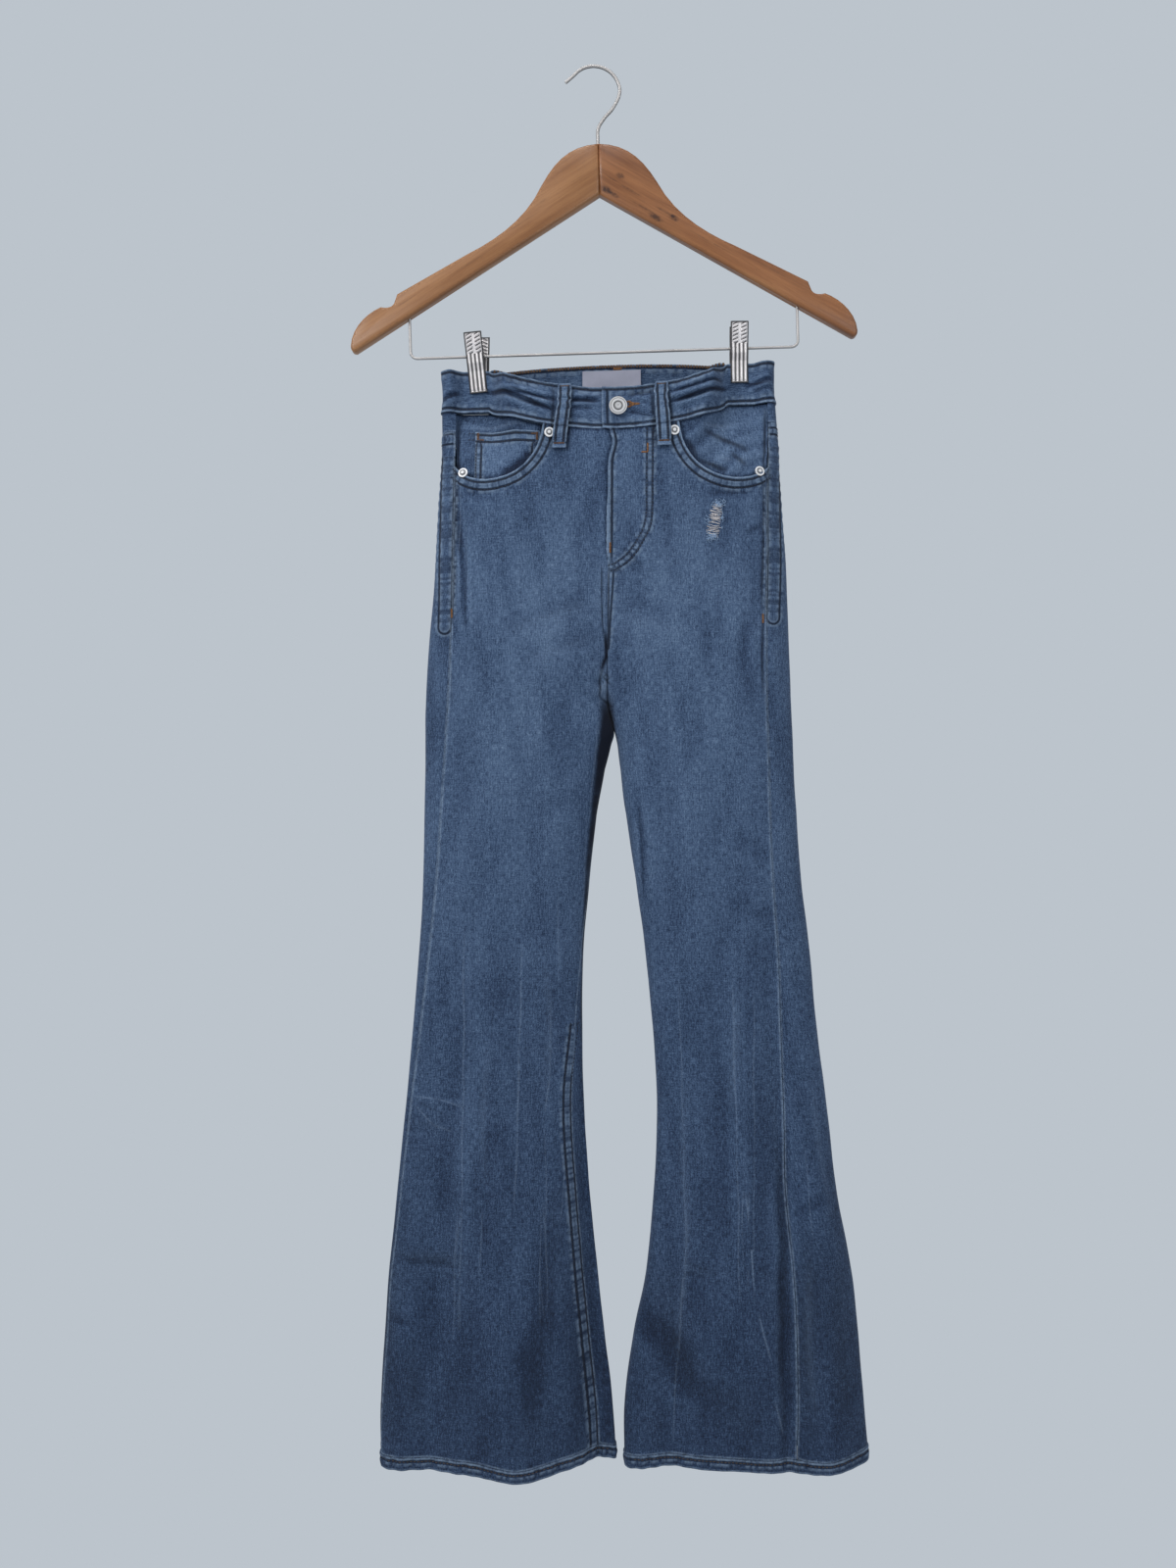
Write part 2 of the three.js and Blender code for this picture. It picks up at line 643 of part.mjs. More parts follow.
// A hem's columns carry on those of the front and the back above it.
for (const side of ['right', 'left']) {
  const fronts = steps(FRONT_COLUMNS).slice(0, -1).map((share) => frontAngle(side, share, LENGTH));
  const backs = steps(BACK_COLUMNS).slice(0, -1).map((share) => backAngle(side, share, LENGTH));
  const rows = [1, 0].map((up) => [...fronts, ...backs].map((angle) => (
    place(side, angle % 360, hemLine(side, angle) - HEM_TALL * up)
  )));
  addCloth(`hem_${side}`, wall(rows, HEM_PROUD, -CLOTH - HEM_PROUD, { ring: true }));
}

// ---- Button and rivets ----

// A turned piece whose axis stands on the cloth, clear of it by a seam gap.
function stand(name, profile, side, x, below, lift) {
  const { point, normal } = place(side, angleAt(side, 'front', x, below), below, 'front');
  const outline = profile.map(([radius, height]) => new THREE.Vector2(radius, height));
  const geometry = new THREE.LatheGeometry(outline, 14);
  const mesh = add(jeans, name, geometry, STEEL, 0.3, 1);
  mesh.quaternion.setFromUnitVectors(new THREE.Vector3(0, 1, 0), normal);
  mesh.position.copy(point).addScaledVector(normal, lift);
}

const BUTTON = [[0, 0], [4, 0], [4, 2], [8.4, 2], [8.6, 3], [7.8, 4.2], [6, 4], [0, 3.4]];
const RIVET = [[0, 0], [4.4, 0], [4.4, 0.6], [3.2, 1.5], [1.6, 1.3], [1.4, 2], [0, 2.1]];
stand('waist_button', BUTTON, 'left', 21.5, FRONT_DIP + 18, BAND_PROUD + GAP);

const RIVET_IN = 4.5;
const RIVET_UNDER = 8;
const SIDE_RIVET_IN = 6;
const SIDE_RIVET_UNDER = 4.6;

for (const [side, inward] of [['right', 1], ['left', -1]]) {
  const { start } = SCOOPS[side];
  const top = bandBottom('front', start) + RIVET_UNDER;
  stand(`rivet_top_${side}`, RIVET, side, start + inward * RIVET_IN, top, LAYER);
  const low = scoopEdge(side, 1) + SIDE_RIVET_UNDER;
  const x = column(SIDES[side], 'outer', low)
    + inward * (column(SIDES[side], 'outseam', low) + SIDE_RIVET_IN);
  stand(`rivet_side_${side}`, RIVET, side, x, low, LAYER);
}

// ---- Hanger ----

const ARC_CENTRE = new THREE.Vector2(-2.5, 48);
const BAR_HALF = 174;
const BAR_DOWN = -186;
const UNDERSIDE_TOP = -45.5;
const UNDERSIDE_SLOPE = 0.602;

function undersideAt(x) {
  return UNDERSIDE_TOP - UNDERSIDE_SLOPE * Math.abs(x);
}

// One arm's outline, from the mitre over the dome, along the shoulder to the notch and tip.
function armShape() {
  const shape = new THREE.Shape();
  const mitre = GAP / 2;
  shape.moveTo(mitre, UNDERSIDE_TOP);
  shape.lineTo(mitre, 0);
  shape.bezierCurveTo(24, -1, 38, -12, 52, -36);
  shape.bezierCurveTo(66, -64, 92, -82, 120, -95);
  shape.lineTo(184, -129);
  shape.lineTo(187, -137);
  shape.quadraticCurveTo(190, -142, 199, -140);
  shape.bezierCurveTo(212, -145, 226, -158, ARM_REACH, -174);
  shape.quadraticCurveTo(ARM_REACH, -180, ARM_REACH - 5, undersideAt(ARM_REACH - 5) - 0.5);
  shape.lineTo(mitre, UNDERSIDE_TOP);
  return shape;
}

function solid(geometry) {
  const bare = geometry.clone();
  bare.deleteAttribute('normal');
  bare.deleteAttribute('uv');
  const merged = mergeVertices(bare, 1e-4);
  const vertProperties = Float32Array.from(merged.getAttribute('position').array);
  const triVerts = Uint32Array.from(merged.getIndex().array);
  return new wasm.Manifold(new wasm.Mesh({ numProp: 3, vertProperties, triVerts }));
}

function fromSolid(manifold) {
  const { vertProperties, triVerts } = manifold.getMesh();
  const geometry = new THREE.BufferGeometry();
  geometry.setAttribute('position', new THREE.BufferAttribute(vertProperties, 3));
  geometry.setIndex(new THREE.BufferAttribute(triVerts, 1));
  geometry.computeVertexNormals();
  return geometry;
}

function peg(radius, x, low, high) {
  const geometry = new THREE.CylinderGeometry(radius, radius, high - low, 12);
  geometry.translate(x, (low + high) / 2, 0);
  return geometry;
}

// The outline is drawn flat, then stood up, so that its second axis becomes height.
function standUp(geometry) {
  return geometry.rotateX(Math.PI / 2);
}

const STEM_DOWN = 22;
const BAR_UP = 16;

for (const [name, mirror] of [['arm_left', 1], ['arm_right', -1]]) {
  const bevel = 2.4;
  const geometry = new THREE.ExtrudeGeometry(armShape(), {
    depth: ARM_THICK - 2 * bevel,
    curveSegments: 7,
    bevelEnabled: true,
    bevelThickness: bevel,
    bevelSize: bevel,
    bevelOffset: -bevel,
    bevelSegments: 2,
  });
  geometry.translate(0, 0, -(ARM_THICK / 2 - bevel));
  let arm = solid(geometry);
  arm = arm.subtract(solid(peg(HOOK_WIRE / 2 + GAP, 0, -STEM_DOWN - GAP, 20)));
  const barBore = peg(BAR_WIRE / 2 + GAP, BAR_HALF, BAR_DOWN, undersideAt(BAR_HALF) + BAR_UP + GAP);
  arm = arm.subtract(solid(barBore));
  const turned = standUp(fromSolid(arm));
  if (mirror < 0) {
    turned.rotateZ(Math.PI);
  }
  add(hanger, name, turned, BEECH, 0.5, 0);
}

function wire(path, diameter, count) {
  const section = new THREE.Shape();
  section.absarc(0, 0, diameter / 2, 0, Math.PI * 2);
  return new THREE.ExtrudeGeometry(section, {
    steps: count,
    curveSegments: 4,
    extrudePath: path,
    bevelEnabled: false,
  });
}

function hookPath() {
  const points = [[0, -STEM_DOWN], [0, -8], [0, 6], [0.6, 15], [6, 24], [14.5, 33.5]];
  for (let angle = 0; angle <= 140; angle += 20) {
    const turn = radians(angle);
    const x = ARC_CENTRE.x + HOOK_RADIUS * Math.cos(turn);
    points.push([x, ARC_CENTRE.y + HOOK_RADIUS * Math.sin(turn)]);
  }
  points.push([-27.5, 57.5]);
  return new THREE.CatmullRomCurve3(points.map(([x, z]) => new THREE.Vector3(x, 0, z)));
}

function barPath() {
  const bend = 6;
  const top = undersideAt(BAR_HALF) + BAR_UP;
  const corner = new THREE.Vector3(-BAR_HALF, 0, BAR_DOWN);
  const path = new THREE.CurvePath();
  const up = new THREE.Vector3(0, 0, bend);
  const along = new THREE.Vector3(bend, 0, 0);
  const first = new THREE.Vector3(-BAR_HALF, 0, top);
  const opposite = new THREE.Vector3(BAR_HALF, 0, BAR_DOWN);
  const last = new THREE.Vector3(BAR_HALF, 0, top);
  const a = corner.clone().add(up);
  const b = corner.clone().add(along);
  const c = opposite.clone().sub(along);
  const d = opposite.clone().add(up);
  path.add(new THREE.LineCurve3(first, a));
  path.add(new THREE.QuadraticBezierCurve3(a, corner, b));
  path.add(new THREE.LineCurve3(b, c));
  path.add(new THREE.QuadraticBezierCurve3(c, opposite, d));
  path.add(new THREE.LineCurve3(d, last));
  return path;
}

add(hanger, 'hanger_hook', wire(hookPath(), HOOK_WIRE, 34), STEEL, 0.25, 1);
add(hanger, 'trouser_bar', wire(barPath(), BAR_WIRE, 44), STEEL, 0.25, 1);

// The hook's inside crown is brought to the origin after the tilt.
hanger.rotation.y = -radians(HANGER_TILT);
const crown = new THREE.Vector3(ARC_CENTRE.x, 0, ARC_CENTRE.y).applyEuler(hanger.rotation);
hanger.position.set(-crown.x, 0, -crown.z - HOOK_RADIUS + HOOK_WIRE / 2);

// ---- Clips ----

const PLATE_WIDE = 16;
const PLATE_THICK = 1;
const SLEEVE_OUT = 4.4;
const SLEEVE_IN = 1.9;
const SLEEVE_LONG = 10;

// Half the clip from the side: out from the middle, and up from the bar.
const PLATE_LINE = [[9, 22], [7.6, 12], [5.3, 3], [5.3, -5], [3.6, -12], [3.6, -29], [4.9, -31.5]];

// A thin closed outline on both sides of a line.
function ribbon(line, thickness) {
  const left = [];
  const right = [];
  line.forEach((at, index) => {
    const before = line[Math.max(0, index - 1)];
    const after = line[Math.min(line.length - 1, index + 1)];
    const length = Math.hypot(after[0] - before[0], after[1] - before[1]);
    const nx = ((after[1] - before[1]) / length) * thickness * 0.5;
    const ny = (-(after[0] - before[0]) / length) * thickness * 0.5;
    left.push(new THREE.Vector2(at[0] + nx, at[1] + ny));
    right.unshift(new THREE.Vector2(at[0] - nx, at[1] - ny));
  });
  return new THREE.Shape([...left, ...right]);
}

function plate(facing) {
  const geometry = new THREE.ExtrudeGeometry(ribbon(PLATE_LINE, PLATE_THICK), {
    depth: PLATE_WIDE,
    bevelEnabled: false,
  });
  geometry.translate(0, 0, -PLATE_WIDE / 2);
  geometry.rotateX(Math.PI / 2);
  geometry.rotateZ(facing * Math.PI / 2);
  return geometry;
}

// The height of the bar's middle line where it passes a given x.
function barHeight(x) {
  const tilt = radians(HANGER_TILT);
  const along = (x - hanger.position.x + BAR_DOWN * Math.sin(tilt)) / Math.cos(tilt);
  return hanger.position.z + along * Math.sin(tilt) + BAR_DOWN * Math.cos(tilt);
}

for (const { name, x, lean, backLean } of CLIPS) {
  const clip = new THREE.Group();
  clip.position.set(x, 0, barHeight(x));
  jeans.add(clip);
  const front = add(clip, `${name}_front`, plate(-1), STEEL, 0.3, 1);
  front.rotation.y = -radians(lean);
  const back = add(clip, `${name}_back`, plate(1), STEEL, 0.3, 1);
  back.rotation.y = -radians(backLean);
  const ring = [
    new THREE.Vector2(SLEEVE_IN, -SLEEVE_LONG / 2),
    new THREE.Vector2(SLEEVE_OUT, -SLEEVE_LONG / 2),
    new THREE.Vector2(SLEEVE_OUT, SLEEVE_LONG / 2),
    new THREE.Vector2(SLEEVE_IN, SLEEVE_LONG / 2),
    new THREE.Vector2(SLEEVE_IN, -SLEEVE_LONG / 2),
  ];
  const sleeve = new THREE.LatheGeometry(ring, 12).rotateZ(Math.PI / 2);
  const spring = add(clip, `${name}_spring`, sleeve, STEEL, 0.35, 1);
  spring.rotation.y = -radians(HANGER_TILT);
}

const part = new THREE.Group();
part.add(jeans);
part.add(hanger);

export default part;
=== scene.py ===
# Flared five-pocket jeans, hung by two steel clips from a wooden hanger.
#
# The sections follow the order in which the jeans are sewn and hung: the fronts, the pockets,
# the backs, the waist, the hems, the metal parts, and last the hanger. In the tables a place
# on the cloth is a distance across (x) and a distance below the waist line, in millimetres,
# on the front or on the back. The wearer's right is at -X and the front faces -Y.

import bpy
import math
import numpy as np
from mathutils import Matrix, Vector
from mathutils.bvhtree import BVHTree


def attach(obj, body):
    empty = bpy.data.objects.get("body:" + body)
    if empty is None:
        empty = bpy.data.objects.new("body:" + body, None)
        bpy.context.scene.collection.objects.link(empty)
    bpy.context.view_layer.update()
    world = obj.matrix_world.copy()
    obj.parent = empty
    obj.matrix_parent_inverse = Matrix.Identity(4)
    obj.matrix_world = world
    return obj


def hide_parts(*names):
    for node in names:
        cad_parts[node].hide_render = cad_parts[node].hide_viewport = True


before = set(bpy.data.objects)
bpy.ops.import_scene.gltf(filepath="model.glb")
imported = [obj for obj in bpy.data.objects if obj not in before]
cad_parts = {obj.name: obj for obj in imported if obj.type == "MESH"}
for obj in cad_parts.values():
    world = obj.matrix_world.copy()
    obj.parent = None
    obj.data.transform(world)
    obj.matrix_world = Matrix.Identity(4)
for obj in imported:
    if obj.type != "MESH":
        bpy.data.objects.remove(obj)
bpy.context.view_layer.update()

# ---- The set ----
# A pale wall behind, a pale floor below, and soft light from two large panels in front, with
# a weaker one from above. The camera looks straight on at the middle of the jeans.

scene = bpy.context.scene
scene.view_settings.view_transform = "Standard"
LOOK_AT, CAMERA_AWAY, LIT_PLACE = (-0.005, 0, -0.643), 1.25, (0, 0, -0.65)


def added(name, data):
    """A new object in the scene."""
    obj = bpy.data.objects.new(name, data)
    scene.collection.objects.link(obj)
    return obj


def aim(thing, target):
    """Turns a lamp or camera towards a point."""
    here = thing.location
    away = [t - h for t, h in zip(target, here)]
    flat = math.hypot(away[0], away[1])
    thing.rotation_euler = (math.pi / 2 + math.atan2(away[2], flat), 0, math.atan2(-away[0], away[1]))


camera = added("camera", bpy.data.cameras.new("camera"))
camera.location = (LOOK_AT[0], -CAMERA_AWAY, LOOK_AT[2])
camera.data.lens = 31.96
camera.data.sensor_width = 36
aim(camera, LOOK_AT)
scene.camera = camera

for name, place_at, wide, power in [
    ("panel_left", (-1.7, -1.5, 0.7), 0.9, 30),
    ("panel_right", (1.7, -1.7, 0.3), 1.2, 11),
    ("panel_above", (-0.1, -0.7, 1.4), 0.8, 13),
]:
    lamp = added(name, bpy.data.lights.new(name, "AREA"))
    lamp.location = place_at
    lamp.data.size = wide
    lamp.data.energy = power
    aim(lamp, LIT_PLACE)

world = bpy.data.worlds.new("room")
scene.world = world
world.use_nodes = True
sky = world.node_tree.nodes["Background"].inputs
sky["Color"].default_value = (0.80, 0.86, 0.92, 1)
sky["Strength"].default_value = 0.40

backdrop_paint = bpy.data.materials.new("backdrop_paint")
backdrop_paint.use_nodes = True
glow = backdrop_paint.node_tree.nodes.new("ShaderNodeEmission")
glow.inputs["Color"].default_value = (0.503, 0.552, 0.604, 1)
output = backdrop_paint.node_tree.nodes["Material Output"]
backdrop_paint.node_tree.links.new(glow.outputs[0], output.inputs["Surface"])
for name, place_at, turn, wide in [("wall", (0, 2.4, -0.6), math.pi / 2, 14), ("floor", (0, -0.6, -1.75), 0, 6)]:
    bpy.ops.object.select_all(action="DESELECT")
    bpy.ops.mesh.primitive_plane_add(size=wide, location=place_at, rotation=(turn, 0, 0))
    sheet_of_paint = bpy.context.object
    sheet_of_paint.name = name
    sheet_of_paint.data.materials.append(backdrop_paint)

# ---- The fronts ----
# Each front is one panel of stretch denim, from the waistband and the scooped pocket mouth
# down to the hem. The wearer's left one laps the other at the fly. The rows of stitches beside
# the seams draw the cloth up into small puckers.

WAIST_Z, WAIST_SLOPE, CENTRE_X = -270, 0.03, 12.5
CROTCH, LENGTH, HEM_TALL, HEM_DIP, HEM_SWAY = 300, 983, 11, 7, 3.5
BAND_TALL, FRONT_DIP, BACK_RISE = 37, 23.2, 8.5
CLOTH, BAND_PROUD = 1.5, 0.5
FRONT, BACK, RIGHT_LEG, LEFT_LEG = True, False, False, True
LEGS = {RIGHT_LEG: "right", LEFT_LEG: "left"}
# Levels below the waist line: where the waistband ends, where the pocket mouths start, and where
# the rows of the hips end. The grain of each leg starts at two distances across, high and low.
BAND_LEVEL, MOUTH_LEVEL, HIP_LEVEL = float(BAND_TALL), 59.0, 130.0
GRAIN_X = {RIGHT_LEG: (-75, -80), LEFT_LEG: (95, 105)}


def table(names, rows):
    """Named columns from rows of numbers."""
    return dict(zip(names.split(), np.array(rows, float).T))


# Half-depths of the body and legs, and how far the inner edge is open to the other side.
BODY = table("below front back open", [
    (-12, 22, 20, 1), (37, 24, 23, 1), (75, 26, 28, 1), (120, 28, 33, 1), (180, 28, 37, 0.92),
    (240, 28, 38, 0.66), (275, 28, 37, 0.36), (300, 28, 36, 0), (350, 27, 33, 0),
    (460, 26, 27, 0), (600, 24, 25, 0), (740, 25, 26, 0), (870, 26, 28, 0), (990, 25, 28, 0),
])
# The outer and inner edges of each half, and how far its seams lie in from them.
RIGHT = table("below outer inner outseam inseam", [
    (-12, -137, 12.5, 14, 0), (22, -135, 12.5, 13, 0), (37, -136, 12.5, 13, 0),
    (70, -136, 12.5, 13, 0), (120, -139, 12.5, 15, 0), (180, -142, 12.5, 17, 0),
    (240, -147, 12.5, 21, 0), (300, -150.5, 12.5, 22, 0), (326, -150.9, 18.4, 20.5, 0),
    (338, -151, 15.8, 20, 0), (360, -151, 10.2, 18, 0), (400, -151.5, 3, 16, 0), (460, -153, -4, 13, 1),
    (530, -157.5, -9.5, 10, 3), (600, -163, -10, 7, 8), (670, -170, -8, 5, 12),
    (740, -177, -3, 4, 12), (810, -184, 3.5, 3, 13), (870, -188, 10.5, 3, 14),
    (930, -191.5, 17.5, 2, 15), (990, -190, 21, 1, 16),
])
LEFT = table("below outer inner outseam inseam", [
    (-12, 162.5, 12.5, 7, 0), (22, 161.5, 12.5, 7, 0), (37, 163, 12.5, 8, 0),
    (70, 165.5, 12.5, 10, 0), (120, 168, 12.5, 14, 0), (180, 172, 12.5, 18, 0),
    (240, 174.5, 12.5, 22, 0), (300, 176.5, 12.5, 24, 0), (326, 178, 18.6, 24.8, -0.6),
    (338, 178.6, 21.8, 25, -1), (360, 179.5, 24.4, 25, -2), (400, 181.5, 29, 26, -4), (460, 186, 38, 28, -6),
    (530, 194, 47, 31, -8), (600, 200.5, 53.5, 35, -12), (670, 209, 57, 41, -18),
    (740, 217.5, 54, 48, -26), (810, 230, 47.5, 54, -34), (870, 237, 35.5, 58, -42),
    (930, 242, 27.5, 62, -50), (990, 247, 28, 68, -56),
])
CLIPS = {RIGHT_LEG: -104.5, LEFT_LEG: 130.5}
GRIP, GRIP_FLAT, GRIP_EASE, GRIP_BELOW, GRIP_FADE = 2.2, 11.5, 15, 22, 110

# Folds and creases: a soft trough (minus) or ridge along a line on one face of one leg. The
# deep ones are the solids' own; the finer ones follow them. Each row is the place across and
# below of the line's two ends, its half width and its height.
FOLDS = {
    (RIGHT_LEG, FRONT): [
        (-92, 8, -44, 36, 8, 2.5), (-4, 640, 6, 1000, 15, -15), (-66, 820, -72, 1000, 34, 9),
        (-122, 560, -148, 1000, 17, -5),
    ],
    (LEFT_LEG, FRONT): [
        (118, 6, 72, 34, 8, 2.5), (158, 560, 174, 1000, 12, -5), (196, 720, 212, 1000, 20, 8),
        (88, 610, 66, 1000, 18, -6),
    ],
    (RIGHT_LEG, BACK): [
        (-60, 540, -52, 1000, 20, -8), (-110, 640, -128, 1000, 26, 6), (-80, 296, -14, 330, 12, -5),
    ],
    (LEFT_LEG, BACK): [
        (120, 560, 112, 1000, 20, -8), (160, 690, 182, 1000, 24, 6), (108, 300, 44, 328, 12, -5),
    ],
}
CREASES = {
    (RIGHT_LEG, FRONT): [
        (-97, 18, -33, 43, 2.2, -2.6), (-76, 23, -32, 34, 2, -2.2), (-90, 12, -52, 20, 3.4, -0.7),
        (-23, 33, 6, 34.5, 2, -1.9), (-22, 40, 0, 42, 2.4, -0.7), (-134, 26, -119, 20, 2.4, -1.9),
        (-120, 47, -96, 50, 3, 0.8), (-84, 41, -60, 50, 3, 0.8), (-119, 128, -112, 236, 2.6, -1.7),
        (-116, 110, -80, 121, 5, -0.5), (-76, 232, 0, 208, 8, -0.3), (-66, 262, 4, 236, 7, -0.3),
        (-46, 396, -8, 384, 8, -0.4), (-162, 647, -117, 652, 1.6, 0.8), (-146, 668, -125, 672, 1.6, 0.8),
        (-175, 789, -120, 795, 3, -1.0), (-36, 740, -58, 930, 11, -1.2), (-182, 840, -160, 846, 4, -1),
        (-100, 560, -118, 760, 9, 1),
    ],
    (LEFT_LEG, FRONT): [
        (121, 21.5, 66, 39, 2.2, -2.6), (114, 17, 66, 30, 2, -2.0), (30, 31, 54, 28, 2.4, -1.2),
        (32, 45, 52, 51, 3, -0.9), (136, 21, 160, 16, 2.2, -1.9), (142, 25, 158, 24, 2, -1.2),
        (24, 52, 50, 49, 3, 0.7), (98, 120, 142, 119, 5, -0.5), (134, 154, 152, 149, 3, -0.5),
        (24, 168, 44, 186, 5, -0.4), (22, 214, 88, 232, 9, -0.3), (137, 226, 128, 292, 5, -0.5),
        (39, 388, 47, 482, 3, -1.7), (43, 426, 53, 433, 2.6, -1.1), (126, 420, 160, 448, 7, -0.6),
        (120, 478, 162, 500, 7, -0.6), (158, 535, 180, 539, 2, 0.7), (45, 842, 97, 920, 12, -2),
        (77, 803, 102, 808, 2, 0.7), (166, 690, 171, 985, 4, -2.4), (180, 760, 206, 742, 6, -1),
        (122, 560, 132, 780, 8, 1),
    ],
    (RIGHT_LEG, BACK): [
        (-112, 22, -60, 14, 4, -1.6), (-118, 262, -60, 278, 5, -0.8), (-72, 316, -4, 344, 4, -1.1),
        (-124, 520, -40, 536, 6, -0.7), (-100, 560, -36, 552, 5, -0.6), (-130, 690, -104, 920, 8, -0.9),
    ],
    (LEFT_LEG, BACK): [
        (120, 20, 72, 14, 4, -1.6), (140, 268, 84, 284, 5, -0.8), (92, 312, 34, 340, 4, -1.1),
        (158, 506, 82, 524, 6, -0.7), (150, 556, 88, 562, 5, -0.6), (146, 700, 158, 930, 8, -0.9),
    ],
}


def smooth(low, high, value):
    """A soft step from 0 at low to 1 at high."""
    t = np.clip((value - low) / (high - low), 0, 1)
    return t * t * (3 - 2 * t)


def mix(a, b, share):
    return a + (b - a) * share


def column(rows, name, below):
    """A column of a table at any distance below the waist, on a smooth curve."""
    knots, values = rows["below"], rows[name]
    last = len(knots) - 1
    row = np.clip(np.searchsorted(knots[1:], below), 0, last - 1)

    def value(index):
        return values[np.clip(index, 0, last)]

    t = np.clip((below - knots[row]) / (knots[row + 1] - knots[row]), 0, 1)
    before = (value(row + 1) - value(row - 1)) / 2
    after = (value(row + 2) - value(row)) / 2
    keep = 1 - 3 * t**2 + 2 * t**3
    lead, tail = t * (1 - t) ** 2, t * t * (t - 1)
    return value(row) * keep + value(row + 1) * (1 - keep) + before * lead + after * tail


def edge(left, name, below):
    """An edge or seam of the leg that each place is on."""
    return np.where(left, column(LEFT, name, below), column(RIGHT, name, below))


def squeeze(x, below):
    """How strongly the clips press the cloth flat."""
    near_by = np.minimum(np.abs(x - CLIPS[RIGHT_LEG]), np.abs(x - CLIPS[LEFT_LEG]))
    widen = 1 + np.maximum(0, below - GRIP_BELOW) / 40
    across = 1 - smooth(GRIP_FLAT, GRIP_FLAT + GRIP_EASE * widen, near_by)
    return across * (1 - smooth(GRIP_BELOW, GRIP_FADE, below))


def slack(front, x):
    """The share of the slack that the waist edge shows between the clips."""
    first, second = CLIPS[RIGHT_LEG], CLIPS[LEFT_LEG]
    t = np.clip((x - first - GRIP_FLAT) / (second - first - 2 * GRIP_FLAT), 0, 1)
    return np.sin(np.pi * t**1.1) ** np.where(front, 0.62, 0.35)


def band_top(front, x):
    return np.where(front, FRONT_DIP, -BACK_RISE) * slack(front, x)


def band_bottom(front, x):
    return band_top(front, x) + BAND_TALL


def openness(below):
    """How far each half is open to the other, from 0 at the fork to 1 at the waist."""
    return np.where(below < CROTCH, np.clip(column(BODY, "open", below), 0, 1), 0)


def by_line(x, below, x0, b0, x1, b1):
    """The length of a line, and for each place how far along it and to one side of it that is."""
    run = math.hypot(x1 - x0, b1 - b0)
    along = ((x - x0) * (x1 - x0) + (below - b0) * (b1 - b0)) / run
    return run, along, ((x - x0) * (b1 - b0) - (below - b0) * (x1 - x0)) / run


def heights(faces, fine, left, front, x, below):
    """The height at each place of the folds, or of the finer creases, of its face."""
    height = np.zeros_like(x)
    for (leg, face), rows in faces.items():
        here = (left == leg) & (front == face)
        for *ends, wide, deep in rows:
            run, along, aside = by_line(x, below, *ends)
            aside = aside / wide
            if fine:
                aside = aside + 0.25 * np.sin(along * 0.09 + ends[0])
                fading = smooth(-0.1, 0.25, along / run) * (1 - smooth(0.7, 1.1, along / run))
                shape = np.exp(-(aside**2)) - 0.45 * np.exp(-(((np.abs(aside) - 1.9) / 0.9) ** 2))
            else:
                fading = smooth(-0.25, 0.3, along / run) * (1 - smooth(1, 1.25, along / run))
                shape = np.exp(-(aside**2))
            height += np.where(here, deep * fading * shape, 0)
    return height


def folded(left, front, x, below):
    """The height of all the folds and creases at each place."""
    return heights(FOLDS, False, left, front, x, below) + heights(CREASES, True, left, front, x, below)


def surface(left, front, angle, below):
    """A point on the outside of the cloth. The angle goes round a leg from its outer edge: 90 is
    the front, 180 the inner edge or the centre seam, and 270 the back."""
    outer, inner = edge(left, "outer", below), edge(left, "inner", below)
    turn = np.radians(angle)
    across = (1 - np.cos(turn)) / 2
    x = mix(outer, inner, across)
    full = mix(np.abs(np.sin(turn)) ** 0.75, 1, np.where(across > 0.5, openness(below), 0))
    pressed = squeeze(x, below)
    loose = np.where(front, column(BODY, "front", below), column(BODY, "back", below)) * full
    depth = loose * (1 - pressed) + GRIP * full**0.3 * pressed
    y = depth + folded(left, front, x, below) * smooth(0, 0.7, full) * (1 - pressed)
    z = WAIST_Z + WAIST_SLOPE * (x - CENTRE_X) - below
    sway = 3.9 * np.exp(-(((below - 72) / 11) ** 2) - ((x - CENTRE_X) / 14) ** 2) * front
    return np.stack([x + sway, np.where(front, -y, y), z], -1)


def place(left, front, angle, below):
    """The point at each place, and the outward normal of the cloth there."""
    left, front, angle, below = np.broadcast_arrays(left, front, angle, np.asarray(below, float))
    step = 0.6
    whole = (openness(below) <= 0) | (np.abs(angle - 180) > step)
    more = np.where(whole | ~front, angle + step, np.minimum(angle + step, 180))
    less = np.where(whole | front, angle - step, np.maximum(angle - step, 180))

    def at(value):
        return surface(left, np.where(whole, (value % 360 > 0) & (value % 360 <= 180), front), value, below)

    around = at(more) - at(less)
    down = surface(left, front, angle, below + 2) - surface(left, front, angle, below - 2)
    normal = np.cross(around, down)
    normal /= np.linalg.norm(normal, axis=-1, keepdims=True)
    return surface(left, front, angle, below), np.where(left[..., None], normal, -normal)


def angle_at(left, front, x, below):
    """The angle at which a face of a leg reaches a distance across."""
    outer, inner = edge(left, "outer", below), edge(left, "inner", below)
    angle = np.degrees(np.arccos(np.clip(1 - 2 * (x - outer) / (inner - outer), -1, 1)))
    return np.where(front, angle, 360 - angle)


def seam_angle(left, name, below):
    """The angle of a seam, which lies in from an edge, and on the back where that is minus."""
    inset = edge(left, name, below)
    share = np.abs(inset) / np.abs(edge(left, "inner", below) - edge(left, "outer", below))
    turn = np.degrees(np.arccos(1 - 2 * share)) * np.sign(inset)
    return turn if name == "outseam" else 180 - turn


def hem_line(left, angle):
    across = (1 - np.cos(np.radians(angle))) / 2
    dip = LENGTH - HEM_DIP + HEM_DIP * np.exp(-(((across - 0.6) / 0.15) ** 2))
    return np.where(left, LENGTH + HEM_SWAY * np.sin(2 * np.pi * across), dip)


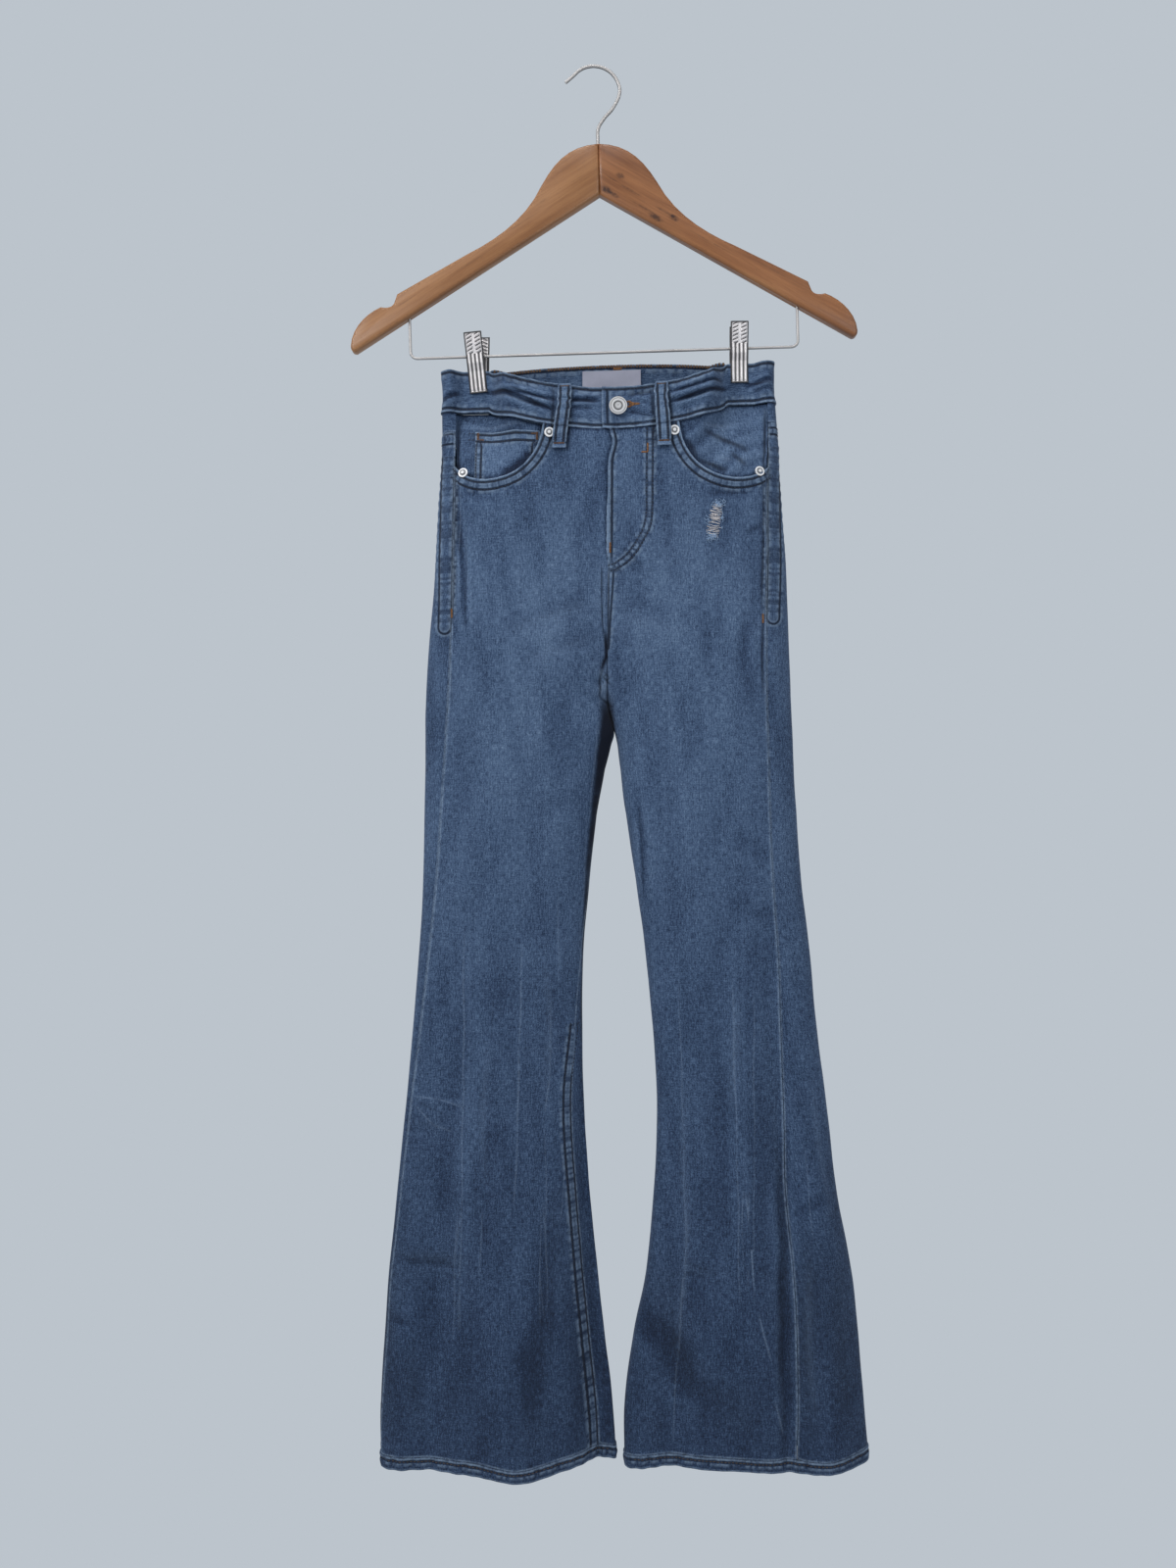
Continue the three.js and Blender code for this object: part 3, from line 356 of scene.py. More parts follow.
def onto(front, x, below):
    """The point and normal on a face at a distance across, on whichever leg is there."""
    x, below = np.broadcast_arrays(np.asarray(x, float), np.asarray(below, float))
    left = x > (column(RIGHT, "inner", below) + column(LEFT, "inner", below)) / 2
    front = np.full(x.shape, front)
    return place(left, front, angle_at(left, front, x, below), below)


def smooth_line(places, count=60):
    """A smooth line through a few places."""
    points = np.array(places, float)
    knots = np.concatenate([[0], np.cumsum(np.linalg.norm(np.diff(points, axis=0), axis=1))])
    rows = {"below": knots, "x": points[:, 0], "down": points[:, 1]}
    at = np.linspace(0, knots[-1], count)
    return np.stack([column(rows, "x", at), column(rows, "down", at)], -1)


def beside(line, distance):
    """A line moved sideways, to its left as it runs down the cloth."""
    along = np.gradient(line, axis=0)
    along /= np.linalg.norm(along, axis=1, keepdims=True)
    return line + distance * np.stack([along[:, 1], -along[:, 0]], -1)


def near(line, x, below):
    """How far each place is from a line, and how far along the line that is."""
    best, along, length = np.full(x.shape, 1e3), np.zeros(x.shape), 0
    for (x0, b0), (x1, b1) in zip(line[:-1], line[1:]):
        run = max(math.hypot(x1 - x0, b1 - b0), 1e-6)
        t = np.clip(((x - x0) * (x1 - x0) + (below - b0) * (b1 - b0)) / run**2, 0, 1)
        away = np.hypot(x - x0 - t * (x1 - x0), below - b0 - t * (b1 - b0))
        along = np.where(away < best, length + t * run, along)
        best = np.minimum(away, best)
        length += run
    return best, along


def sewing(x, below, seams):
    """For each place: the distance from the nearest seam's middle line, the distance along it,
    and half the distance between its two rows of stitches."""
    best = np.stack([np.full(x.shape, 40.0), np.zeros(x.shape), np.full(x.shape, 3.0)], -1)
    for line, half in seams:
        inside = (x > line[:, 0].min() - 12) & (x < line[:, 0].max() + 12)
        inside &= (below > line[:, 1].min() - 12) & (below < line[:, 1].max() + 12)
        if inside.any():
            away, along = near(line, x[inside], below[inside])
            old = best[inside]
            length = np.linalg.norm(np.diff(line, axis=0), axis=1).sum()
            closer = (away < old[:, 0]) & (along > 0) & (along < length)
            best[inside] = np.where(closer[:, None], np.stack([away, along, np.full(away.shape, half)], -1), old)
    return best


def ripple(x, below):
    """Small unevenness of the cloth, the same on every run."""
    wave = np.sin(x * 0.11 + 1.7 * np.sin(below * 0.013)) * np.sin(below * 0.037 + 1.3 * np.sin(x * 0.05))
    return wave + 0.5 * np.sin(x * 0.31 + below * 0.021) * np.sin(below * 0.083 - x * 0.07)


# How the denim has faded: soft patches, paler (plus) or darker than the rest. Some dark ones are painted shadow:
# inside the right pocket's mouth and down the right leg's inner edge.
PATCHES = table("front x below wide tall pale", [
    (1, -62, 190, 52, 46, 0.08), (1, 84, 196, 56, 44, 0.06), (1, -74, 330, 40, 110, 0.07),
    (1, 92, 330, 46, 110, 0.06), (1, -30, 245, 30, 22, 0.07), (1, 52, 240, 26, 22, 0.05),
    (1, -128, 150, 9, 120, -0.1), (1, 162, 150, 10, 120, -0.08), (1, -132, 118, 8, 10, 0.12),
    (1, 8.8, 285, 4.6, 13, 0.42), (1, -10, 640, 5, 80, -0.14), (1, -1, 780, 5, 80, -0.12),
    (1, 12, 910, 5, 70, -0.1), (1, -30, 50, 24, 9, -0.04), (1, 150, 320, 9, 60, -0.05), (1, -75, 93, 7, 3.4, -0.4),
    (1, -66, 88.5, 6, 4.5, -0.5), (1, -59, 81, 4.5, 5, -0.3), (1, 12, 210, 10, 60, 0.05),
    (1, -56, 520, 46, 13, 0.05), (1, -50, 556, 46, 12, -0.04), (1, -93, 663, 26, 10, 0.06),
    (1, -100, 500, 40, 40, 0.03), (1, -90, 560, 50, 90, -0.03), (1, 120, 600, 50, 90, -0.03),
    (1, -60, 108, 40, 8, -0.05), (1, 112, 116, 34, 8, -0.05), (1, -150, 270, 9, 90, -0.06),
    (1, 184, 300, 12, 100, -0.05), (0, -66, 200, 60, 60, 0.1), (0, 92, 200, 60, 60, 0.09),
    (0, -84, 420, 44, 120, 0.06), (0, 110, 420, 44, 120, 0.06), (0, 12, 270, 26, 24, -0.08),
])
# Broad pale lines where the hips were creased in the wash.
STREAKS = table("front x below to_x to_below wide pale", [
    (1, -70, 236, -4, 214, 6, 0.1), (1, -56, 262, 2, 244, 5, 0.08), (1, 24, 226, 80, 240, 6, 0.07),
    (1, -96, 600, -94, 720, 2.6, 0.1), (1, 84, 640, 76, 880, 3, 0.1), (1, 122, 560, 124, 660, 3.4, 0.12),
    (1, 186, 800, 196, 930, 2.8, 0.1), (1, 196, 640, 208, 760, 3, 0.08), (1, -44, 520, -40, 640, 3, 0.08),
    (0, -116, 268, -50, 284, 6, 0.1), (0, 136, 272, 76, 288, 6, 0.1),
])
# Dark places: the shadow inside the fork and down the right leg's inner edge.
DARKS = table("front x below to_x to_below wide dark", [
    (1, 10, 238, 11.4, 263, 1.5, 1), (1, 11.4, 258, 6.2, 274, 1.6, 1), (1, 11.6, 297, 12.2, 332, 6.2, 1),
    (1, 12.6, 320, 7.6, 354, 6.8, 1), (1, 9, 342, 1.8, 396, 5.2, 1), (1, 2.2, 386, -4, 448, 3.5, 1),
    (1, -4.6, 438, -8.4, 522, 2.6, 0.95), (1, -8.6, 510, -10.4, 602, 1.8, 0.8),
])
# Fine lines: sharp creases that have faded pale (plus), and dark ones (minus), which are painted shade in deep
# creases, beside the front belt loops and inside the left pocket's mouth.
FINE_LINES = table("front x below to_x to_below wide pale", [
    (1, -93.5, 17.8, -68, 26.2, 1, -1), (1, -70, 25.2, -35.5, 42.2, 1.2, -1),
    (1, -77, 19.8, -35.5, 34.8, 0.7, -0.85), (1, -88, 24, -58, 34.5, 1.1, 0.4), (1, -66, 26.5, -40, 37, 0.6, 0.3),
    (1, 118.5, 22.4, 96, 28, 1, -1), (1, 98, 27, 68.5, 38.2, 1.1, -1), (1, 115, 17.8, 101, 19.4, 1.5, -0.7),
    (1, 90, 23, 67.5, 29.6, 0.8, -0.8), (1, 112, 27.5, 72, 41, 0.9, 0.35), (1, -22, 33, 5, 35, 0.8, -0.8),
    (1, -21, 39.5, 0, 41.5, 0.6, -0.45), (1, 30, 31, 54, 28, 0.7, -0.6), (1, 33, 46, 52, 50, 0.7, -0.5),
    (1, -134, 27, -120, 20, 0.8, -0.7), (1, 139, 18.2, 158, 20, 0.9, -0.8), (1, -35.2, 22, -38.2, 78, 1.5, -1),
    (1, -19.4, 25, -23.2, 78, 1.5, -1), (1, 51.4, 26, 54, 78, 1.5, -1), (1, 66, 24, 69.6, 78, 1.5, -1),
    (1, -120.3, 42, -121.2, 108, 1.2, -1), (1, -121.1, 98, -122.2, 172, 1.2, -1),
    (1, -122, 162, -124.8, 226, 1.2, -1), (1, -117.6, 84, -119.4, 215, 0.5, 0.35),
    (1, 152.8, 42, 151.1, 108, 1.3, -1), (1, 151.2, 98, 148.6, 226, 1.4, -1),
    (1, 148.5, 216, 149.4, 300, 1.1, -0.9), (1, 153.2, 84, 151.4, 226, 0.6, 0.4), (1, 98, 62, 138, 80, 2.2, -0.9),
    (1, 92, 89.5, 118.5, 100, 2.3, -1), (1, 81.5, 70, 92, 88, 2.2, -0.9), (1, 122, 82, 135, 95, 2, -0.8),
    (1, 98, 58, 122, 56.5, 1.6, 0.35), (1, 106, 86, 123, 89, 1.6, 0.3), (1, -110, 50, -60, 52, 1.4, 0.3),
    (1, -112, 56, -70, 55, 1.1, -0.4), (1, -128, 232, -124, 300, 0.7, -0.4), (1, 7.2, 181, 7, 216, 0.6, -1),
    (1, 7, 210, 8.4, 240, 0.7, -1), (1, 9.3, 182, 9.3, 238, 0.5, 0.5), (1, 6, 272, 5.4, 298, 1.1, -1),
    (1, 8.2, 277.5, 15, 284.6, 0.6, -1), (1, 9, 273.5, 14.5, 279, 0.5, -0.8), (1, 5.6, 296, 17.2, 305, 1.1, -1),
    (1, 3.2, 318, -3.2, 404, 0.7, 0.3), (1, -5.5, 404, -13, 520, 0.6, 0.25),
    (1, -114.3, 500, -115.4, 640, 0.6, 0.42), (1, -115.2, 628, -116.6, 744, 0.6, 0.4),
    (1, -116.6, 735, -118.4, 850, 0.6, 0.3), (1, -121, 745, -124, 860, 0.55, 0.3),
    (1, -62.5, 512, -66.2, 610, 0.6, 0.5), (1, -66.3, 600, -67, 684, 0.65, 0.5),
    (1, -66.8, 674, -70.4, 742, 0.6, 0.4), (1, -31, 470, -31.6, 548, 0.5, 0.3),
    (1, -38.6, 628, -43, 662, 0.6, 0.45), (1, -37, 560, -39.5, 640, 0.5, 0.25), (1, -43, 668, -41, 838, 0.5, 0.25),
    (1, -98, 745, -101, 802, 0.55, 0.3), (1, -47, 745, -47.5, 846, 0.5, 0.25),
    (1, -89.5, 560, -89.8, 596, 0.5, -0.3), (1, -160, 645, -138, 647.5, 0.7, 0.4),
    (1, -140, 647, -116.5, 655, 0.7, 0.4), (1, -158.5, 653.5, -142, 670, 0.7, 0.35),
    (1, -144, 669.5, -125, 677, 0.7, 0.35), (1, -156, 650, -130, 662, 0.8, -0.3), (1, -64, 604, -10, 606, 0.6, 0.1),
    (1, -88, 542, -14, 540, 0.7, -0.14), (1, -24, 700, -30, 760, 0.5, 0.25), (1, 75, 548, 80, 690, 0.55, 0.3),
    (1, 80, 680, 82, 832, 0.5, 0.25), (1, 122, 549, 126, 700, 0.6, 0.45), (1, 126, 690, 128.4, 834, 0.55, 0.35),
    (1, 141, 560, 141.4, 700, 0.55, 0.35), (1, 141.2, 690, 141, 834, 0.5, 0.25), (1, 134, 736, 142, 824, 0.7, 0.7),
    (1, 145.5, 844, 156, 886, 0.7, 0.55), (1, 160, 922, 167, 952, 0.7, 0.45), (1, 84, 750, 74.5, 886, 0.6, 0.35),
    (1, 74.6, 878, 70, 958, 0.55, 0.3), (1, 186, 700, 193, 780, 0.5, 0.25), (1, 40, 392, 45.5, 480, 0.9, -0.35),
    (1, 37.6, 400, 42.5, 470, 0.7, 0.3), (1, -112, 130, -113, 232, 0.8, -0.35), (1, 134, 154, 152, 149, 0.8, -0.3),
    (1, 24, 166, 44, 184, 0.9, -0.25), (1, 100, 120, 142, 119.5, 0.8, -0.3), (0, -60, 520, -58, 660, 0.6, 0.4),
    (0, -58, 650, -56, 770, 0.6, 0.3), (0, -104, 600, -112, 820, 0.6, 0.35), (0, 112, 540, 110, 780, 0.6, 0.4),
    (0, 150, 620, 162, 860, 0.6, 0.35), (0, -72, 318, -6, 344, 0.9, -0.4), (0, 92, 314, 36, 340, 0.9, -0.4),
    (0, -112, 22, -62, 14, 0.8, -0.5), (0, 120, 20, 74, 14, 0.8, -0.5),
])
# Grey along the folds: dye that the wash left there, and painted shade in their troughs.
SHADES = table("front x below to_x to_below wide grey", [
    (1, -176, 785, -112, 792, 7, 0.5), (1, -186, 700, -182, 960, 9, 0.45), (1, -30, 720, -54, 960, 13, 0.22),
    (1, -10, 760, -8, 940, 14, 0.25), (1, 52, 800, 96, 920, 15, 0.35), (1, 44, 820, 52, 960, 12, 0.12),
    (1, 76, 802, 104, 806, 5, 0.4), (1, 186, 770, 192, 960, 12, 0.5), (1, 214, 800, 226, 940, 12, 0.35),
    (1, -160, 860, -156, 940, 9, 0.3), (1, 110, 900, 140, 950, 16, 0.25), (1, 163, 620, 168, 980, 4, 0.45),
    (1, -158, 668, -130, 672, 5, 0.3), (0, -60, 760, -56, 960, 16, 0.45), (0, 116, 760, 112, 960, 16, 0.45),
    (0, -150, 800, -150, 950, 12, 0.3),
])


# How pale the hips are, and how much darker the legs turn between two levels.
PALE_HIPS, LEG_SHADE = 0.435, [(380, 600, 0.045), (600, 760, 0.08), (760, 890, 0.07)]
LINE_REACH = 4.2


def wash_and_shade(front, x, below):
    """Four values for each place: how pale, from 0 to 1, less under the waistband's painted shadow; how grey, partly
    painted shade in the folds; how streaked; and how deep in painted shadow.
    """
    pale = PALE_HIPS + 0.012 * ripple(x, below)
    for start, end, darker in LEG_SHADE:
        pale = pale - darker * smooth(start, end, below)
    for face, cx, cb, wide, tall, amount in zip(*PATCHES.values()):
        near_by = ((x - cx) / wide) ** 2 + ((below - cb) / tall) ** 2
        pale = pale + np.where(front == bool(face), amount * np.exp(-near_by), 0)
    # Painted shadow along the lower edge of the waistband, on the cloth just under it.
    gap = below - band_bottom(front, x)
    pale = pale - 0.34 * np.exp(-(((gap - 0.3) / 1.6) ** 2)) * (gap > -0.2)
    marks = []
    for rows in (SHADES, STREAKS, DARKS):
        mark = np.zeros(x.shape)
        power = 4 if rows is DARKS else 2
        for face, x0, b0, x1, b1, wide, amount in zip(*rows.values()):
            sway = 3 * np.sin(below * 0.03) if rows is not DARKS else 0
            away, along = near(np.array([(x0, b0), (x1, b1)]), x + sway, below)
            run = math.hypot(x1 - x0, b1 - b0)
            ends = np.sin(np.pi * np.clip(along / run, 0.02, 0.98)) ** 0.5
            mark += np.where(front == bool(face), amount * ends * np.exp(-((away / wide) ** power)), 0)
        marks.append(np.clip(mark, 0, 1))
    return np.stack([np.clip(pale, 0, 1), *marks], -1)


def fine_lines(front, x, below):
    """For each place: how far to one side of the nearest fine line it lies, in the line's own
    widths, how pale (plus) or dark (minus) the line is, and how dark the rows of stitches are."""
    nearest, beyond, pale = np.full(x.shape, 1e3), np.zeros(x.shape), np.zeros(x.shape)
    for face, *ends, wide, amount in zip(*FINE_LINES.values()):
        run, along, aside = by_line(x, below, *ends)
        aside = aside + min(0.5, run / 150) * np.sin(along * 0.07 + ends[0])
        away = np.hypot(aside, np.maximum(0, np.maximum(-along, along - run)))
        closer = (away < nearest) & (front == bool(face))
        strength = amount * np.sin(np.pi * np.clip(along / run, 0, 1)) ** 0.4 * (np.abs(aside) < LINE_REACH)
        nearest = np.where(closer, away, nearest)
        beyond = np.where(closer, np.clip(aside / wide, -7, 7), beyond)
        pale = np.where(closer, strength, pale)
    faint = 0.55 * np.exp(-((near(fly_curve, x, below)[0] / 7) ** 4)) + 0.35 * smooth(960, 972, below)
    return np.stack([beyond, pale, np.where(front, 1 - faint, 1)], -1)


def node(tree, kind, inputs=(), **settings):
    """A shader node with its settings, and with its inputs linked or set."""
    made = tree.nodes.new("ShaderNode" + kind)
    for key, value in settings.items():
        setattr(made, key, value)
    for key, value in dict(inputs).items():
        if isinstance(value, bpy.types.NodeSocket):
            tree.links.new(value, made.inputs[key])
        else:
            made.inputs[key].default_value = value
    return made


def ramp(tree, value, stops):
    """A value turned into greys or colours at (position, colour) stops."""
    made = node(tree, "ValToRGB", {"Fac": value})
    points = made.color_ramp.elements
    while len(points) < len(stops):
        points.new(0.5)
    for point, (position, colour) in zip(points, stops):
        point.position = position
        point.color = colour if isinstance(colour, tuple) else (colour, colour, colour, 1)
    return made.outputs["Color"]


def dye(red, green, blue):
    """A colour as it looks, from 0 to 255, made linear."""
    return tuple(((c / 255 + 0.055) / 1.055) ** 2.4 if c > 10 else c / 3295 for c in (red, green, blue)) + (1,)


def blended(tree, share, under, over):
    """Two colours mixed by a share."""
    return node(tree, "Mix", {0: share, 6: under, 7: over}, data_type="RGBA").outputs[2]


def worked(tree, operation, first, second=0.0, clamp=False):
    """One step of arithmetic on two values."""
    return node(tree, "Math", {0: first, 1: second}, operation=operation, use_clamp=clamp).outputs[0]


def product(tree, first, second, clamp=False):
    return worked(tree, "MULTIPLY", first, second, clamp)


def sum_of(tree, terms, constant=0.0):
    """The sum of weight times (value - middle) over (value, weight, middle)."""
    total = constant
    for value, weight, middle in terms:
        scaled = node(tree, "Math", {0: value, 1: weight, 2: -weight * middle}, operation="MULTIPLY_ADD")
        total = worked(tree, "ADD", scaled.outputs[0], total)
    return total


def new_material(name):
    """A material, its node tree and the sockets of its shader."""
    material = bpy.data.materials.new(name)
    material.use_nodes = True
    return material, material.node_tree, material.node_tree.nodes["Principled BSDF"].inputs


def bumped(tree, sockets, height, strength, distance):
    """Raises a material's surface by a height."""
    relief = node(tree, "Bump", {"Strength": strength, "Distance": distance, "Height": height})
    tree.links.new(relief.outputs["Normal"], sockets["Normal"])


def new_group(name, inputs, outputs):
    """An empty node group with named sockets, and its two end nodes."""
    group = bpy.data.node_groups.new(name, "ShaderNodeTree")
    for direction, sockets in (("INPUT", inputs), ("OUTPUT", outputs)):
        for label, kind in sockets:
            group.interface.new_socket(label, in_out=direction, socket_type="NodeSocket" + kind)
    return group, group.nodes.new("NodeGroupInput").outputs, group.nodes.new("NodeGroupOutput").inputs


# Faded denim: slubs and streaks along the warp, flecks across it, dark rows with pale puckers beside
# them where it is sewn, and a pale worn line along every edge. It also lays on the painted shade
# that the cloth notes at each point: grey and near-black in the folds and the fork, and dark fine lines.
weave, given, made_of = new_group(
    "denim_with_painted_shade",
    [("Grain", "Vector"), ("Sewing", "Vector"), ("Edge", "Float"), ("WashAndShade", "Color"), ("Dark", "Float"),
     ("Line", "Vector")],
    [("Color", "Color"), ("Height", "Float")],
)


def grain_noise(stretch, detail, roughness=0.55):
    spread = node(weave, "VectorMath", {0: given["Grain"], 1: stretch}, operation="MULTIPLY")
    return node(weave, "TexNoise", {"Vector": spread.outputs[0], "Scale": 1.0, "Detail": detail,
                                    "Roughness": roughness}).outputs["Fac"]


slub = grain_noise((0.9, 0.17, 1), 2.0, 0.6)
weft = grain_noise((0.14, 0.85, 1), 2.0, 0.6)
streak = grain_noise((0.25, 0.008, 1), 2.0)
fleck = grain_noise((0.85, 0.7, 1), 3.0, 0.8)
cloud = grain_noise((0.05, 0.035, 1), 3.0)
SHADOW_BLUE = dye(17, 23, 38)
wash_and_shade_parts = node(weave, "SeparateColor", {"Color": given["WashAndShade"]}).outputs
tone = sum_of(weave, [(slub, 0.8, 0.5), (weft, 0.36, 0.5), (streak, 0.16, 0.5), (fleck, 1.05, 0.5),
                      (cloud, 0.1, 0.5), (wash_and_shade_parts[0], 1.0, 0.0)])
cloth_colour = ramp(weave, tone, [(0.0, dye(24, 34, 54)), (0.25, dye(44, 61, 88)), (0.5, dye(75, 96, 126)),
                                  (0.75, dye(104, 126, 154)), (1.0, dye(140, 160, 186))])
cloth_colour = blended(weave, wash_and_shade_parts[2], cloth_colour, dye(122, 142, 168))
# Grey along the folds: partly dye, partly painted shade.
greyed = product(weave, wash_and_shade_parts[1], 0.5)
cloth_colour = blended(weave, greyed, cloth_colour, dye(38, 46, 56))
# Painted shadow: near-black blue where the cloth notes it dark.
cloth_colour = blended(weave, given["Dark"], cloth_colour, SHADOW_BLUE)
line_parts = node(weave, "SeparateXYZ", {0: given["Line"]}).outputs
from_line = product(weave, worked(weave, "ABSOLUTE", line_parts[0]), 0.25)
on_line = ramp(weave, from_line, [(0.0, 1.0), (0.14, 0.85), (0.32, 0.25), (0.55, 0.0)])
on_line = product(weave, on_line, ramp(weave, fleck, [(0.34, 0.35), (0.56, 1.0)]))
line_tone = product(weave, on_line, line_parts[1])
# Fine lines: pale where creases have faded, and dark ones as painted shade.
cloth_colour = blended(weave, product(weave, line_tone, 0.8, True), cloth_colour, dye(128, 148, 174))
cloth_colour = blended(weave, product(weave, line_tone, -1.0, True), cloth_colour, SHADOW_BLUE)

sewn_parts = node(weave, "SeparateXYZ", {0: given["Sewing"]}).outputs
from_row = worked(weave, "ABSOLUTE", worked(weave, "SUBTRACT", sewn_parts[0], sewn_parts[2]))
row_scale = product(weave, from_row, 0.2)
along_seam = node(weave, "CombineXYZ", {0: sewn_parts[1], 1: sewn_parts[0], 2: 0.0})
pucker_at = node(weave, "VectorMath", {0: along_seam.outputs[0], 1: (0.21, 0.1, 1)}, operation="MULTIPLY")
pucker = node(weave, "TexNoise", {"Vector": pucker_at.outputs[0], "Scale": 1.0, "Detail": 2.0})
pucker = ramp(weave, pucker.outputs["Fac"], [(0.4, 0.0), (0.58, 1.0)])
in_row = ramp(weave, row_scale, [(0.08, 1.0), (0.25, 0.0)])
by_row = ramp(weave, row_scale, [(0.14, 0.0), (0.3, 1.0), (0.5, 0.7), (0.85, 0.0)])
by_row = product(weave, by_row, pucker)
between_rows = ramp(weave, worked(weave, "SUBTRACT", sewn_parts[2], sewn_parts[0]), [(0.0, 0.0), (0.9, 0.55)])
dark_pucker = product(weave, between_rows, worked(weave, "SUBTRACT", 1.0, pucker))
cloth_colour = blended(weave, dark_pucker, cloth_colour, dye(34, 46, 68))
cloth_colour = blended(weave, product(weave, by_row, 0.62), cloth_colour, dye(122, 142, 166))
dark_row = product(weave, product(weave, in_row, line_parts[2]), 0.88)
cloth_colour = blended(weave, dark_row, cloth_colour, dye(20, 27, 42))

edge_scale = product(weave, given["Edge"], 0.2)
worn_edge = ramp(weave, edge_scale, [(0.03, 0.3), (0.11, 1.0), (0.24, 0.6), (0.46, 0.0)])
patchy = grain_noise((0.13, 0.16, 1), 2.0)
wear = product(weave, ramp(weave, fleck, [(0.3, 0.35), (0.6, 1.0)]), ramp(weave, patchy, [(0.36, 0.3), (0.56, 1.0)]))
pale_edge = product(weave, product(weave, worn_edge, wear), 0.7)
cloth_colour = blended(weave, pale_edge, cloth_colour, dye(138, 158, 182))

twill = node(weave, "TexWave", {"Vector": given["Grain"], "Scale": 0.28, "Distortion": 0.6},
             bands_direction="DIAGONAL").outputs["Fac"]
height = sum_of(weave, [(slub, 0.22, 0.5), (fleck, 0.16, 0.5), (twill, 0.08, 0.5), (cloud, 0.5, 0.5),
                        (by_row, 0.34, 0.0), (in_row, -0.4, 0.0), (worn_edge, 0.2, 0.0)])
weave.links.new(cloth_colour, made_of["Color"])
weave.links.new(height, made_of["Height"])


MAP_UNIT = 100


def denim(name, tint=(1, 1, 1, 1)):
    """A denim material that takes its grain from the piece's own map, and its wear and painted
    shade from what is noted at each point of the cloth."""
    material, tree, sockets = new_material(name)
    spread = node(tree, "VectorMath", {0: node(tree, "UVMap", uv_map="cloth").outputs[0],
                                       1: (MAP_UNIT, MAP_UNIT, 1)}, operation="MULTIPLY")
    look = node(tree, "Group", node_tree=weave)
    tree.links.new(spread.outputs[0], look.inputs["Grain"])
    for noted, output, socket in [("sewing", "Vector", "Sewing"), ("edge", "Fac", "Edge"),
                                  ("wash_and_shade", "Color", "WashAndShade"), ("wash_and_shade", "Alpha", "Dark"),
                                  ("fine_line", "Vector", "Line")]:
        tree.links.new(node(tree, "Attribute", attribute_name=noted).outputs[output], look.inputs[socket])
    tinted = node(tree, "Mix", {0: 1.0, 6: look.outputs["Color"], 7: tint}, data_type="RGBA", blend_type="MULTIPLY")
    tree.links.new(tinted.outputs[2], sockets["Base Color"])
    bumped(tree, sockets, look.outputs["Height"], 1.0, 0.001)
    sockets["Roughness"].default_value = 0.92
    sockets["Specular IOR Level"].default_value = 0.2
    sockets["Sheen Weight"].default_value = 0.06
    return material


leg_denim = denim("leg_denim")
reverse = denim("denim_reverse", tint=dye(225, 225, 222))


def select_only(obj):
    bpy.ops.object.select_all(action="DESELECT")
    bpy.context.view_layer.objects.active = obj
    obj.select_set(True)


def finished(obj, material, replaced=(), angle=50):
    """Gives a mesh its material and its place on the jeans."""
    if material:
        obj.data.materials.clear()
        obj.data.materials.append(material)
    select_only(obj)
    bpy.ops.object.shade_smooth_by_angle(angle=math.radians(angle))
    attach(obj, "root")
    if replaced:
        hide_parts(*replaced)
    return obj


def new_mesh(name, points, faces):
    """An object from points in millimetres and faces."""
    mesh = bpy.data.meshes.new(name)
    mesh.from_pydata((np.asarray(points) * 0.001).tolist(), [], [list(map(int, face)) for face in faces])
    return added(name, mesh)


GIRTH_LEVELS, GIRTH_ANGLES = np.linspace(-20, 1000, 103), np.linspace(0, 360, 361)


def girth_table(left):
    """The distance round a leg, level by level, from its outer edge over the front to each angle."""
    point = surface(left, GIRTH_ANGLES <= 180, GIRTH_ANGLES, GIRTH_LEVELS[:, None])
    steps = np.linalg.norm(np.diff(point, axis=1), axis=2)
    return np.concatenate([np.zeros((len(steps), 1)), np.cumsum(steps, axis=1)], axis=1)


GIRTHS = np.stack([girth_table(RIGHT_LEG), girth_table(LEFT_LEG)])


def girth(left, angle, below):
    """The distance round at a level, on past a full turn."""
    level = np.clip((below - GIRTH_LEVELS[0]) / 10, 0, len(GIRTH_LEVELS) - 1.001)
    turn, rest = np.divmod(angle, 360)
    row, col, leg = level.astype(int), np.minimum(rest.astype(int), 359), left.astype(int)
    t, s = level - row, rest - col
    upper = mix(GIRTHS[leg, row, col], GIRTHS[leg, row, col + 1], s)
    lower = mix(GIRTHS[leg, row + 1, col], GIRTHS[leg, row + 1, col + 1], s)
    whole = mix(GIRTHS[leg, row, -1], GIRTHS[leg, row + 1, -1], t)
    return mix(upper, lower, t) + turn * whole


def across_at(left, angle, below):
    """The distance across of a place at an angle round a leg."""
    return mix(edge(left, "outer", below), edge(left, "inner", below), (1 - np.cos(np.radians(angle))) / 2)


PUCKER, NO_WEAR = 8.6, 40.0


